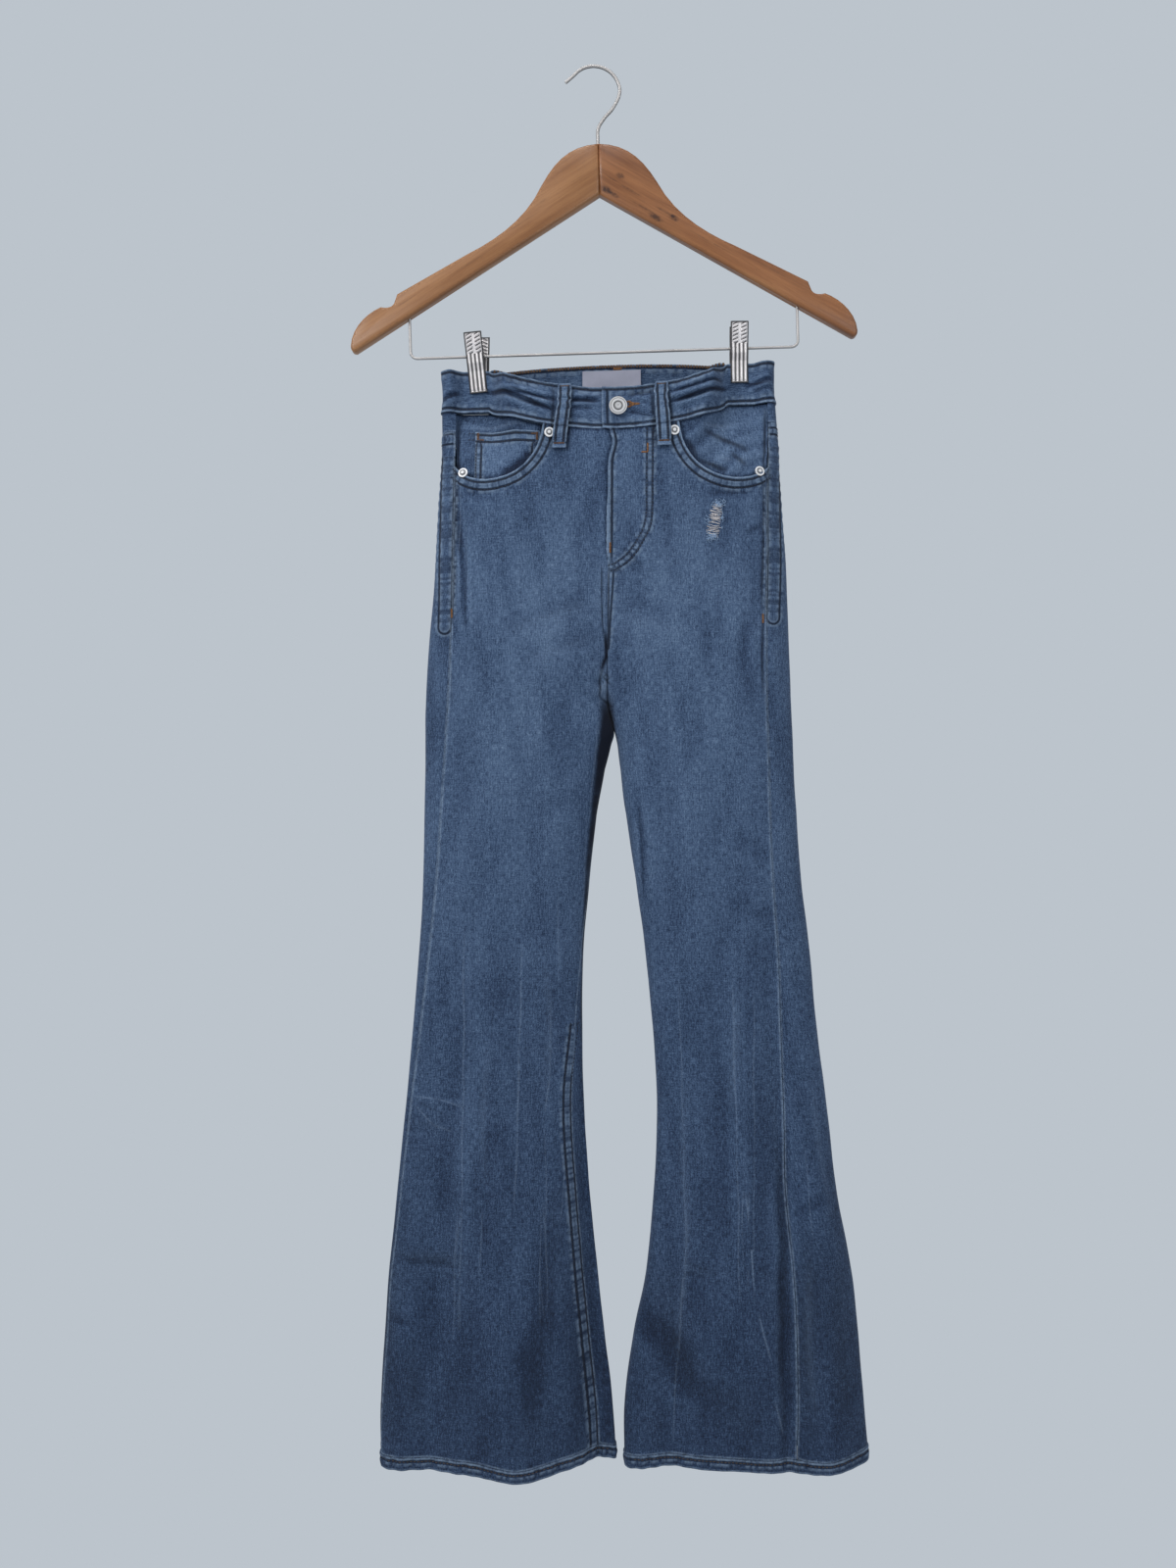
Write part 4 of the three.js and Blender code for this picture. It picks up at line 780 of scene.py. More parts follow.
def cloth(name, left, front, angle, below, material, seams=(), lift=0.0, thick=CLOTH,
          ring=False, borders="tblr", lines=(), grain_x=None, extra=0.0, paler=0.0,
          inside=None, sewn=None):
    """A sheet over a grid of places: its folds, its puckered seams, its map, its wear and its painted shade."""
    left, front, angle, below = np.broadcast_arrays(left, front, angle, np.asarray(below, float))
    point, normal = place(left, front, angle, below)
    x = across_at(left, angle, below)
    sewn = sewing(x, below, seams) if sewn is None else sewn
    away, along, half = np.moveaxis(sewn, -1, 0)
    beyond = np.abs(away - half)
    pull = np.sin(2 * np.pi * along / PUCKER + 2.1 * np.sin(along / 19) + 0.4 * beyond)
    relief = 0.3 * ripple(x, below) + 0.32 * pull * np.exp(-(((beyond - 2.2) / 2.6) ** 2))
    relief = relief + 0.5 * np.exp(-((away / (half + 1.0)) ** 4)) - 0.3 * np.exp(-((beyond / 1.1) ** 2))
    joined = np.exp(-(((x - CENTRE_X) / 3) ** 2)) * smooth(200, 240, below) * (below < CROTCH + 8)
    relief = mix((relief + extra) * (1 - squeeze(x, below)), 0.4, joined)
    moved = point + normal * (lift + relief)[..., None]

    across = np.linalg.norm(np.diff(moved, axis=1), axis=2)
    across = np.concatenate([np.zeros((len(point), 1)), np.cumsum(across, axis=1)], axis=1)
    down = np.linalg.norm(np.diff(moved, axis=0), axis=2)
    down = np.concatenate([np.zeros((1, point.shape[1])), np.cumsum(down, axis=0)], axis=0)
    distances = {"l": across, "r": across[:, -1:] - across, "t": down, "b": down[-1:] - down}
    worn = np.full(x.shape, NO_WEAR)
    for border in borders:
        worn = np.minimum(worn, distances[border])
    for line in lines:
        worn = np.minimum(worn, near(line, x, below)[0])
    maps = np.stack([down, across], -1) / MAP_UNIT
    if grain_x is not None:
        mostly_front = np.full(x.shape, np.mean(front) > 0.5)
        zero = angle_at(left, mostly_front, np.interp(below, (350, 990), grain_x), below)
        maps = np.stack([girth(left, angle, below) - girth(left, zero, below), below], -1) / MAP_UNIT

    rows, columns = x.shape
    number = np.arange(rows * columns).reshape(rows, columns)
    if ring:
        number = np.concatenate([number, number[:, :1]], axis=1)
    quads = np.stack([number[:-1, :-1], number[1:, :-1], number[1:, 1:], number[:-1, 1:]], -1).reshape(-1, 4)
    flat_points = moved.reshape(-1, 3)
    middle = quads[len(quads) // 2]
    facing = np.cross(flat_points[middle[1]] - flat_points[middle[0]],
                      flat_points[middle[3]] - flat_points[middle[0]])
    if facing @ normal.reshape(-1, 3)[middle[0]] < 0:
        quads = quads[:, ::-1]
    obj = new_mesh(name, flat_points, quads)
    mesh = obj.data
    corner = np.zeros(len(mesh.loops), int)
    mesh.loops.foreach_get("vertex_index", corner)
    mesh.uv_layers.new(name="cloth").data.foreach_set("uv", maps.reshape(-1, 2)[corner].ravel())
    colours = wash_and_shade(front, x, below)
    # Crease ridges are rubbed paler, as wear; the troughs of creases and puckers get painted shade.
    crest = np.tanh((heights(CREASES, True, left, front, x, below) + 0.9 * relief) / 1.1)
    rub_and_trough_shade = np.where(crest < 0, 0.28, 0.16) * crest * (1 - 0.5 * smooth(CROTCH, CROTCH + 100, below))
    colours[..., 0] = np.clip(colours[..., 0] + paler + rub_and_trough_shade, 0, 1)
    for label, kind, field, values in [
        ("sewing", "FLOAT_VECTOR", "vector", sewn),
        ("edge", "FLOAT", "value", worn),
        ("fine_line", "FLOAT_VECTOR", "vector", fine_lines(front, x, below)),
        ("wash_and_shade", "FLOAT_COLOR", "color", colours),
    ]:
        mesh.attributes.new(label, kind, "POINT").data.foreach_set(field, values.astype(np.float32).ravel())
    mesh.materials.append(material)
    mesh.materials.append(inside or reverse)
    wall = obj.modifiers.new("wall", "SOLIDIFY")
    wall.thickness = thick * 0.001
    wall.offset = -1
    wall.material_offset = 1
    wall.use_even_offset = False
    bpy.context.view_layer.objects.active = obj
    bpy.ops.object.modifier_apply(modifier=wall.name)
    finished(obj, None, (name.removesuffix("_cloth"),))
    return obj


def spaced(count, dense=()):
    """Shares from 0 to 1, closer together near both ends and at each (share, width, amount)."""
    t = np.linspace(0, 1, 2001)
    weight = 1 + 2.0 * (np.exp(-t / 0.06) + np.exp(-(1 - t) / 0.06))
    for at, wide, amount in dense:
        weight = weight + amount * np.exp(-(((t - at) / wide) ** 2))
    total = np.concatenate([[0], np.cumsum((weight[1:] + weight[:-1]) / 2)])
    return np.interp(np.linspace(0, 1, count), total / total[-1], t)


# Scooped pocket mouths, from the waistband to the outseam.
SCOOPS = {RIGHT_LEG: (-45, 52, 19), LEFT_LEG: (75, 55, 14)}
SEAM_GAP = 0.15


def scoop_edge(left, share):
    """How far down the mouth of a front pocket lies, at a share of the way to the outseam."""
    start, deep, lift = SCOOPS[left]
    curve = (1 - (1 - share) ** 3.5) ** 0.55
    return band_bottom(True, start) + deep * curve - lift * share**4


def front_angle(left, share, below):
    """Shares up to a half cross the pocket mouth, and the rest go on to the centre or inseam."""
    first = seam_angle(left, "outseam", below)
    last = np.where(below < CROTCH, 180, seam_angle(left, "inseam", below))
    scoop = angle_at(left, True, SCOOPS[left][0], below)
    middle = mix(scoop, mix(first, last, 0.46), smooth(HIP_LEVEL, CROTCH, below))
    return np.where(share < 0.5, mix(first, middle, share / 0.5), mix(middle, last, share / 0.5 - 1))


def front_upper(left, share):
    """The upper edge of a front: the pocket mouth, and then the lower edge of the waistband."""
    angle = front_angle(left, np.maximum(share, 0.5), BAND_TALL + FRONT_DIP)
    top = surface(np.full(share.shape, left), True, angle, np.full(share.shape, MOUTH_LEVEL))
    return np.where(share < 0.5, scoop_edge(left, 1 - np.minimum(share, 0.5) / 0.5), band_bottom(True, top[..., 0]))


def scoop_line(left):
    """The mouth of a front pocket, from the waistband to the outseam."""
    share = np.linspace(0.5, 0, 70)
    below = front_upper(left, share)
    angle = front_angle(left, share, below)
    return np.stack([across_at(left, angle, below), below], -1)


def seam_line(left, name, top, bottom, inward=0.0):
    """The course of an outseam or inseam on the front, moved into the leg by a distance."""
    below = np.linspace(top, bottom, 90)
    near_edge, far_edge = ("outer", "inner") if name == "outseam" else ("inner", "outer")
    toward = np.sign(edge(left, far_edge, below) - edge(left, near_edge, below))
    x = edge(left, near_edge, below) + toward * (np.abs(edge(left, name, below)) + inward)
    return np.stack([x, below], -1)


fly_curve = smooth_line([(47, 60), (46.6, 100), (45.8, 140), (40, 156), (30, 171), (20, 178.5), (13, 181)])
scoops = {leg: scoop_line(leg) for leg in LEGS}
inseam_rows = seam_line(RIGHT_LEG, "inseam", 584, 972, 3.6)
inseam_rows[:, 0] += 3.6 * (1 - smooth(584, 650, inseam_rows[:, 1]))


def from_centre(*places):
    """A line of places that are given by their distance from the centre seam."""
    return np.array([(CENTRE_X + away, below) for away, below in places])


# Each seam is its middle line and half the gauge of its two rows. Half a gauge under 1 is a seam
# that only pulls at the cloth: its thread, if it shows, is a fine line.
front_seams = {
    RIGHT_LEG: [(beside(scoops[RIGHT_LEG], 6), 3), (seam_line(RIGHT_LEG, "outseam", 62, 222, 0.4), 0.4),
                (inseam_rows, 3.2)],
    LEFT_LEG: [(beside(scoops[LEFT_LEG], -6), 3), (seam_line(LEFT_LEG, "outseam", 62, 232, 0.4), 0.4),
               (beside(fly_curve, 2.6), 2.6), (from_centre((3.8, 60), (3.2, 178)), 0.3),
               (from_centre((0.6, 182), (0.5, 246)), 0.0),
               (from_centre((5.3, 182), (3.9, 205), (2.2, 229), (0.8, 254)), 0.0)],
}
fly_wear = {RIGHT_LEG: [], LEFT_LEG: [from_centre((1.0, 62), (0.8, 180))]}
HIP_ROWS, SHIN_ROWS, MOUTH_ROWS = 46, 300, 60

for leg, count, dense, flat in [(RIGHT_LEG, 84, [(0.97, 0.06, 1.5)], (0.205, 0.93)),
                                (LEFT_LEG, 104, [(0.88, 0.1, 2.6)], (0.17, 0.93))]:
    share = np.clip(spaced(count, dense), 0.0002, 1)
    upper = front_upper(leg, share) + SEAM_GAP
    hem = hem_line(leg, front_angle(leg, share, LENGTH)) - HEM_TALL - SEAM_GAP
    hip = mix(upper, HIP_LEVEL, (np.linspace(0, 1, HIP_ROWS) ** 1.35)[:, None])
    shin = mix(HIP_LEVEL, hem, np.linspace(0, 1, SHIN_ROWS)[1:, None])
    below = np.concatenate([hip, shin])
    angle = front_angle(leg, share[None, :], below)
    x = across_at(leg, angle, below)
    from_mouth = near(scoops[leg], x[:MOUTH_ROWS], below[:MOUTH_ROWS])[0]
    roll = np.zeros(below.shape)
    roll[:MOUTH_ROWS] = 1.5 * np.exp(-((from_mouth / 7) ** 2)) + 0.7 * np.exp(-(((from_mouth - 1.1) / 1.3) ** 2))
    to_centre = np.abs(x - CENTRE_X)
    lap = np.exp(-((to_centre / 2.8) ** 2)) * (1 - smooth(165, 182, below)) * smooth(50, 64, below)
    roll += lap * (1.4 if leg else -0.9)
    crumple = np.exp(-(((x - 8) / 7) ** 2) - ((below - 284) / 20) ** 2)
    roll += crumple * (0.7 * np.sin(0.5 * (below + 0.7 * x)) + 0.5 * np.sin(0.31 * below - 0.2 * x))
    cloth(f"front_{LEGS[leg]}_cloth", leg, (angle <= 180) | (below < CROTCH), angle, below, leg_denim,
          front_seams[leg], borders="blr" if leg else "bl", lines=fly_wear[leg] + [scoops[leg]],
          grain_x=GRAIN_X[leg], extra=roll)


def object_noise(tree, scale, detail):
    """Soft noise over the piece, in its own space."""
    where = node(tree, "TexCoord").outputs["Object"]
    return node(tree, "TexNoise", {"Vector": where, "Scale": scale, "Detail": detail}).outputs["Fac"]


def thread(name, dark, light):
    """Spun thread, darker where it is soiled."""
    material, tree, sockets = new_material(name)
    twist = object_noise(tree, 900.0, 2.0)
    tree.links.new(ramp(tree, twist, [(0.3, dark), (0.7, light)]), sockets["Base Color"])
    sockets["Roughness"].default_value = 0.85
    return material


navy_thread = thread("navy_thread", dye(20, 24, 36), dye(44, 50, 66))
orange_thread = thread("orange_thread", dye(84, 56, 32), dye(146, 100, 58))
brown_thread = thread("brown_thread", dye(54, 40, 36), dye(108, 78, 58))

# A stitch is a short length of thread that dips into the cloth at both ends, as a lozenge with
# its corners given along, across and up. Rows have this pitch, half width and height.
PITCH, THREAD_HALF, THREAD_TALL, FLAT_THREAD, TACK_TALL = 3.1, 0.42, 0.5, 0.45, 0.55
LOZENGE = np.array([(-1, 0, -0.25), (-0.55, -1, 0.35), (-0.55, 1, 0.35), (-0.55, 0, 0.9), (0.55, -1, 0.35),
                    (0.55, 1, 0.35), (0.55, 0, 0.9), (1, 0, -0.25)])
LOZENGE_FACES = [(0, 1, 3), (0, 3, 2), (1, 4, 6), (1, 6, 3), (3, 6, 5), (3, 5, 2), (4, 7, 6), (6, 7, 5),
                 (0, 2, 1), (1, 2, 5), (1, 5, 4), (4, 5, 7)]


def add_stitch(points, faces, centre, along, across, up):
    """Adds one lozenge, from its middle and its three half-axes."""
    start = len(points)
    points += [centre + a * along + b * across + c * up for a, b, c in LOZENGE]
    faces += [[start + i for i in face] for face in LOZENGE_FACES]


def stitched(name, points, faces, spun):
    """A piece of thread on the jeans, from its points and faces."""
    finished(new_mesh(name, points, faces), spun, angle=80)


def on_cloth(tree, front, places):
    """The points and normals where the cloth lies, under places on one face."""
    points, normals = onto(front, places[:, 0], places[:, 1])
    for index, (point, normal) in enumerate(zip(points, normals)):
        hit = tree.ray_cast(Vector((point + 9 * normal) / 1000), Vector(-normal), 0.016)
        if hit[0] is not None:
            points[index] = np.array(hit[0]) * 1000
    return points, normals


def tree_of(*objects):
    """A search tree over the meshes of some pieces."""
    points, faces = [], []
    for obj in objects:
        start = len(points)
        points += [v.co for v in obj.data.vertices]
        faces += [[start + i for i in f.vertices] for f in obj.data.polygons]
    return BVHTree.FromPolygons(points, faces)


def sew(name, spun, cloths, rows):
    """Rows of stitches on some cloths: (front, line, pitch, half width, height)."""
    tree, points, faces = tree_of(*cloths), [], []
    for front, line, pitch, wide, tall in rows:
        steps = np.concatenate([[0], np.cumsum(np.linalg.norm(np.diff(line, axis=0), axis=1))])
        at = np.arange(pitch * 0.5, steps[-1], pitch)
        if len(at) < 1:
            at = np.array([steps[-1] / 2])
        places, ahead, behind = (
            np.stack([np.interp(at + step, steps, line[:, 0]), np.interp(at + step, steps, line[:, 1])], -1)
            for step in (0, 0.4, -0.4))
        middle, normals = on_cloth(tree, front, places)
        run = onto(front, *ahead.T)[0] - onto(front, *behind.T)[0]
        run /= np.linalg.norm(run, axis=1, keepdims=True)
        side = np.cross(normals, run)
        for centre, along, across, up in zip(middle, run * pitch * 0.4, side * wide, normals * tall):
            add_stitch(points, faces, centre, along, across, up)
    stitched(name, points, faces, spun)


def single(front, line, tall=THREAD_TALL):
    return (front, line, PITCH, THREAD_HALF, tall)


def double(front, line, half):
    """Two rows of stitches, half a gauge to each side of a line."""
    return [single(front, beside(line, half)), single(front, beside(line, -half))]


def tack(front, start, end, wide=1.3):
    """A bar tack, a dense little bar of thread from one place to another."""
    line = np.array([start, end], float)
    run = line[1] - line[0]
    across = np.array([run[1], -run[0]]) / np.hypot(*run) * wide
    count = max(4, int(np.hypot(*run) / 0.75))
    rows = []
    for share in (np.arange(count) + 0.5) / count:
        middle = line[0] + share * run
        rows.append((front, np.array([middle - across, middle + across]), 2 * wide, THREAD_HALF, TACK_TALL))
    return rows


def all_of(lists):
    """One list from several."""
    return [item for one in lists for item in one]


fronts = [bpy.data.objects[f"front_{side}_cloth"] for side in LEGS.values()]
seams = front_seams[RIGHT_LEG] + front_seams[LEFT_LEG]
sew("front_stitches", navy_thread, fronts, all_of(double(FRONT, line, half) for line, half in seams if half > 1))
tacks = [((47.5, 74), (47.5, 82)), ((47.5, 82), (42, 82)), ((14.4, 161), (14.4, 170)),
         ((-125.4, 214), (-125.4, 222)), ((149.4, 227), (149.4, 235))]
sew("front_tacks", orange_thread, fronts, all_of(tack(FRONT, *ends) for ends in tacks))

# ---- The pocket facings and the coin pocket ----
# The side of the hips shows in each scooped mouth as a facing that lies under the front. The
# right one carries a small coin pocket, hemmed by two rows and tacked at both top corners.

LAYER, GAP = 0.5, 0.3
FACING_REACH, FACING_UNDER, FACING_STOP = 1.12, 22, 0.25
COIN_TOP, COIN_SLANT, COIN_BOTTOM, COIN_FIRST, COIN_LAST = 60, 5.5, 114, 2 / 8, 7 / 8


def facing_grid(left, first, last, top, bottom, columns, rows):
    """Places on a facing between two shares of its width. With no top given, it runs from under
    the waistband to a little below the mouth."""
    share = np.linspace(first, last, columns)
    mouth = share * FACING_REACH / 2
    if top is None:
        angle = front_angle(left, mouth, np.full(columns, MOUTH_LEVEL))
        top = band_bottom(True, across_at(left, angle, MOUTH_LEVEL)) + 2 * GAP
        bottom = scoop_edge(left, np.maximum(FACING_STOP, 1 - share * FACING_REACH)) + FACING_UNDER
    below = mix(top, bottom, np.linspace(0, 1, rows)[:, None]) + np.zeros(columns)
    return front_angle(left, mouth[None, :], below), below


for leg, depth, paler, rumpled in ((RIGHT_LEG, 2 * CLOTH + 2 * LAYER, -0.03, 0.5),
                                   (LEFT_LEG, CLOTH + LAYER, 0.05, 1)):
    angle, below = facing_grid(leg, 0.005, 1, None, None, 60, 50)
    x = across_at(leg, angle, below)
    # Painted shadow of the front's pocket mouth, on the facing just under it.
    shaded = np.exp(-((near(scoops[leg], x, below)[0] / 3) ** 2))
    rumple = 0.55 * np.sin(0.2 * x + 0.34 * below + 1.5 * np.sin(0.09 * x - 0.05 * below)) * (1 - shaded)
    cloth(f"facing_{LEGS[leg]}_cloth", leg, FRONT, angle, below, leg_denim, borders="",
          lift=-depth, grain_x=GRAIN_X[leg], paler=paler - 0.36 * shaded, extra=rumpled * rumple)

coin_rows = [(np.array([(-112, COIN_TOP + down - 5.7), (-52, COIN_TOP + down)]), 0.3) for down in (2.2, 8.6)]
top = np.linspace(COIN_TOP - COIN_SLANT, COIN_TOP, 60)
angle, below = facing_grid(RIGHT_LEG, COIN_FIRST, COIN_LAST, top, COIN_BOTTOM, 60, 44)
x = across_at(RIGHT_LEG, angle, below)
coin_side = np.stack([x[8:, 0] + 3.5, below[8:, 0]], -1)
coin_end = np.stack([x[8:, -1] - 4.5, below[8:, -1]], -1)
# Painted shadow of the pocket mouth, on the coin pocket just under it.
shaded = np.exp(-((near(scoops[RIGHT_LEG], x, below)[0] / 4.4) ** 2))
coin = cloth("coin_pocket_cloth", RIGHT_LEG, FRONT, angle, below, leg_denim,
             coin_rows + [(coin_side, 2.4), (coin_end, 3.0)], borders="tlr", lift=-(CLOTH + LAYER),
             grain_x=GRAIN_X[RIGHT_LEG], paler=0.06 - 0.45 * shaded,
             extra=0.8 * np.exp(-(((below - top) / 2.2) ** 2)))
sew("coin_stitches", navy_thread, [coin], double(FRONT, coin_side, 2.4) + double(FRONT, coin_end, 3.0)
    + [single(FRONT, line) for line, half in coin_rows])
coin_left, coin_right = x[0, 0], x[0, -1]
tacks = [((coin_left + 2.6, 55.5), (coin_left + 2.6, 62.5), 1.7), ((coin_left + 4, 62), (coin_left + 8, 62.4)),
         ((coin_right - 3.2, 61), (coin_right - 3.2, 68), 1.7), ((coin_right - 8.5, 62), (coin_right - 4.5, 62))]
sew("coin_tacks", brown_thread, [coin], all_of(tack(FRONT, *ends) for ends in tacks))

# ---- The yokes, the backs and the back pockets ----
# The back of each half is a yoke, which shapes the seat, over one long panel that runs on round
# the outer edge to the seam on the front. Patch pockets are sewn on with two rows all round.

YOKE_SIDE, YOKE_CENTRE, SEAT_ROW, YOKE_ROW = 18, 58, 4.6, 5


def back_angle(left, share, below):
    """Shares from the centre back or the inseam to the outseam."""
    first = np.where(below < CROTCH, 180, seam_angle(left, "inseam", below))
    return mix(first, 360 + seam_angle(left, "outseam", below), share)


def back_top(left, share):
    angle = back_angle(left, share, np.full(share.shape, BAND_LEVEL))
    return band_bottom(angle > 360, across_at(left, angle, BAND_LEVEL))


def back_grid(left, share, upper, lower, marks):
    """Places on the back between two lines, and the face that each lies on."""
    below = mix(upper, lower, marks[:, None]) + np.zeros(share.shape)
    angle = back_angle(left, share[None, :], below)
    return angle, below, (angle > 360) | (angle < 180)


yoke_rows = {}
for leg, to_side, back_grain in ((RIGHT_LEG, -1, (-75, -85)), (LEFT_LEG, 1, (95, 160))):
    share = np.clip(spaced(72), 0, 0.9998)
    top = back_top(leg, share)
    seam = top + mix(YOKE_CENTRE, YOKE_SIDE, np.minimum(1, share * 1.08))
    yoke_line = np.stack([across_at(leg, back_angle(leg, share, seam), seam), seam], -1)[::3]
    yoke_rows[leg] = yoke_line + (0, YOKE_ROW)
    seams = [(np.stack([np.full(20, CENTRE_X + to_side * SEAT_ROW), np.linspace(20, 300, 20)], -1), 3.0)]
    angle, below, face = back_grid(leg, share, top + GAP, seam - SEAM_GAP, np.linspace(0, 1, 26))
    cloth(f"yoke_{LEGS[leg]}_cloth", leg, face, angle, below, leg_denim, seams,
          borders="b", paler=0.02)
    hem = hem_line(leg, back_angle(leg, share, LENGTH)) - HEM_TALL - SEAM_GAP
    hip = back_grid(leg, share, seam + SEAM_GAP, HIP_LEVEL, np.linspace(0, 1, 34))
    shin = back_grid(leg, share, HIP_LEVEL, hem, np.linspace(0, 1, SHIN_ROWS)[1:])
    angle, below, face = (np.concatenate(pair) for pair in zip(hip, shin))
    x = across_at(leg, angle, below)
    seams.append((yoke_rows[leg], 3.2))
    if leg == LEFT_LEG:
        seams.append((seam_line(leg, "inseam", 346, 972, 5.0), 3.0))
    side_strip = [(seam_line(leg, "outseam", 76, 230, -6), 6), (np.array([(-144, 61.5), (-112, 61.5)]), 4.6),
                  (np.array([(144, 63), (174, 63)]), 3.0)]
    sewn = np.where(face[..., None], sewing(x, below, side_strip), sewing(x, below, seams))
    from_seam = np.abs(x - across_at(leg, 360 + seam_angle(leg, "outseam", below), below))
    cloth(f"back_{LEGS[leg]}_cloth", leg, face, angle, below, leg_denim, sewn=sewn,
          grain_x=back_grain, extra=-0.9 * np.exp(-((from_seam / 2.5) ** 2)) * face)

POCKET_OUT, POCKET_HALF, POCKET_TAPER, POCKET_TOP, POCKET_EDGE, POCKET_POINT = 79, 56, 7, 128, 96, 24
for leg, middle in ((RIGHT_LEG, CENTRE_X - POCKET_OUT), (LEFT_LEG, CENTRE_X + POCKET_OUT)):
    side = LEGS[leg]
    half = np.linspace(-1, 1, 81)
    mark = np.linspace(0, 1, 76)[:, None]
    below = POCKET_TOP + mark * (POCKET_EDGE + POCKET_POINT * (1 - np.abs(half)))
    x = middle + half * mix(POCKET_HALF, POCKET_HALF - POCKET_TAPER, mark)
    top_in, low_in = POCKET_HALF - 5, POCKET_HALF - POCKET_TAPER - 5
    round_edge = middle + np.array([-top_in, -low_in, 0, low_in, top_in])
    round_edge = np.stack([round_edge, [POCKET_TOP, 221, 243, 221, POCKET_TOP]], -1)
    hemmed_top = np.array([(middle + s * (POCKET_HALF - 1), POCKET_TOP + 8) for s in (-1, 1)])
    pocket = cloth(f"back_pocket_{side}_cloth", leg, BACK, angle_at(leg, BACK, x, below), below, leg_denim,
                   [(round_edge, 3.0), (hemmed_top, 3.2)], lift=2 * LAYER + CLOTH,
                   grain_x=GRAIN_X[leg], paler=0.04,
                   extra=0.8 * np.exp(-(((below - POCKET_TOP) / 3) ** 2)))
    sew(f"back_pocket_{side}_stitches", navy_thread, [pocket],
        double(BACK, round_edge, 3.0) + double(BACK, hemmed_top, 3.2))
    corners = [middle + s * (POCKET_HALF - 4) for s in (-1, 1)]
    sew(f"back_pocket_{side}_tacks", orange_thread, [pocket],
        all_of(tack(BACK, (at, POCKET_TOP + 2), (at, POCKET_TOP + 10)) for at in corners))
backs = [bpy.data.objects[f"{part}_{side}_cloth"] for part in ("yoke", "back") for side in LEGS.values()]
seat_row = np.stack([np.full(30, CENTRE_X - SEAT_ROW), np.linspace(32, 296, 30)], -1)
sew("back_stitches", navy_thread, backs, double(BACK, seat_row, 3.0)
    + all_of(double(BACK, yoke_rows[leg][:-2], 3.2) for leg in LEGS))

# ---- The waistband and the label ----
# The waistband is one long strip folded over the tops of the panels. Its tab laps over the
# other end at the fly. Inside the back a satin label is sewn in by its ends.

# The straight stretches of the tab and of the underlap start and end at these distances across.
TAB_END, TAB_SIDE, LOOP_SIDE, UNDERLAP_START, UNDERLAP_END = 7, 60.0, -34.0, -32.4, 46
STATION, SIDE_TURNS, BACK_TURNS = 1.6, 74, 110
UNDER = CLOTH + BAND_PROUD + GAP
TOP_ROW, LOW_ROW, TAB_ROW = 2.6, 3.2, 5.2


def straight_run(xs, sink):
    """Stations at distances across the front."""
    leg = xs > CENTRE_X
    return leg, np.full(len(xs), FRONT), angle_at(leg, FRONT, xs, np.full(len(xs), BAND_LEVEL)), sink


def turned_run(leg, face, turn):
    """Stations at angles round one leg's side of the waist."""
    return np.full(len(turn), leg), np.full(len(turn), face), turn, np.zeros(len(turn))


def waist_stations():
    """Places round the waist from the tab's end by the left side and the back to the underlap:
    the leg, the face, the angle and how far the band has sunk under the tab."""
    tab = np.arange(TAB_END, TAB_SIDE, STATION)
    underlap = np.arange(UNDERLAP_START, UNDERLAP_END, STATION)
    left_start = angle_at(LEFT_LEG, FRONT, TAB_SIDE, BAND_LEVEL)
    right_start = angle_at(RIGHT_LEG, FRONT, LOOP_SIDE, BAND_LEVEL)
    runs = [straight_run(tab, np.zeros(len(tab))),
            turned_run(LEFT_LEG, FRONT, np.linspace(left_start, 0, SIDE_TURNS)),
            turned_run(LEFT_LEG, BACK, np.linspace(360, 180, BACK_TURNS)[1:]),
            turned_run(RIGHT_LEG, BACK, np.linspace(180, 360, BACK_TURNS)[1:]),
            turned_run(RIGHT_LEG, FRONT, np.linspace(0, right_start, SIDE_TURNS)[1:]),
            straight_run(underlap, np.interp(underlap, [-26, -12, 2], [0, 0.3, 1]))]
    return [np.concatenate(parts) for parts in zip(*runs)]


left, front, angle, sink = waist_stations()
x = across_at(left, angle, BAND_LEVEL)
mark = np.linspace(0, 1, 56)[:, None]
below = band_top(front, x) + BAND_TALL * mark
from_top = BAND_TALL * mark + np.zeros(x.shape)
to_low = BAND_TALL - from_top
round_way = np.concatenate([[0], np.cumsum(np.hypot(np.diff(x), 4 * np.diff(angle) / 60))])
pulls = np.sin(round_way / 3.1 + 1.4 * np.sin(round_way / 23))
puff = 0.9 * np.exp(-((to_low / 3.2) ** 2)) * (0.6 + 0.4 * pulls) + 0.35 * np.exp(-((from_top / 2.5) ** 2)) * pulls
puff = puff - 0.55 * np.exp(-(((to_low - LOW_ROW) / 1.1) ** 2)) - 0.45 * np.exp(-(((from_top - TOP_ROW) / 1.1) ** 2))
row_away = np.minimum(np.abs(from_top - TOP_ROW), np.abs(to_low - LOW_ROW))
tab_row = np.where(round_way < 30, np.abs(round_way - TAB_ROW), NO_WEAR)
row_away = np.minimum(row_away, np.where((from_top > 3) & (to_low > 3), tab_row, NO_WEAR))
band_sewn = np.stack([0.7 * row_away, round_way + 0 * row_away, 0 * row_away], -1)
band_denim = denim("band_denim")
band = cloth("waistband_cloth", left, front, angle, below, band_denim,
             lift=BAND_PROUD - UNDER * sink, thick=CLOTH + BAND_PROUD, borders="tbl",
             extra=puff, inside=band_denim, sewn=band_sewn)
rows = []
for face, stretches in ((FRONT, [(-131, -34), (-18, 7), (9, 52), (69, 158)]), (BACK, [(-133, 160)])):
    for band_edge, down in ((band_top, TOP_ROW), (band_bottom, -LOW_ROW)):
        for first, last in stretches:
            xs = np.arange(first, last, 3.0)
            rows.append(single(face, np.stack([xs, band_edge(face, xs) + down], -1), FLAT_THREAD))
sew("waistband_stitches", navy_thread, [band], rows)

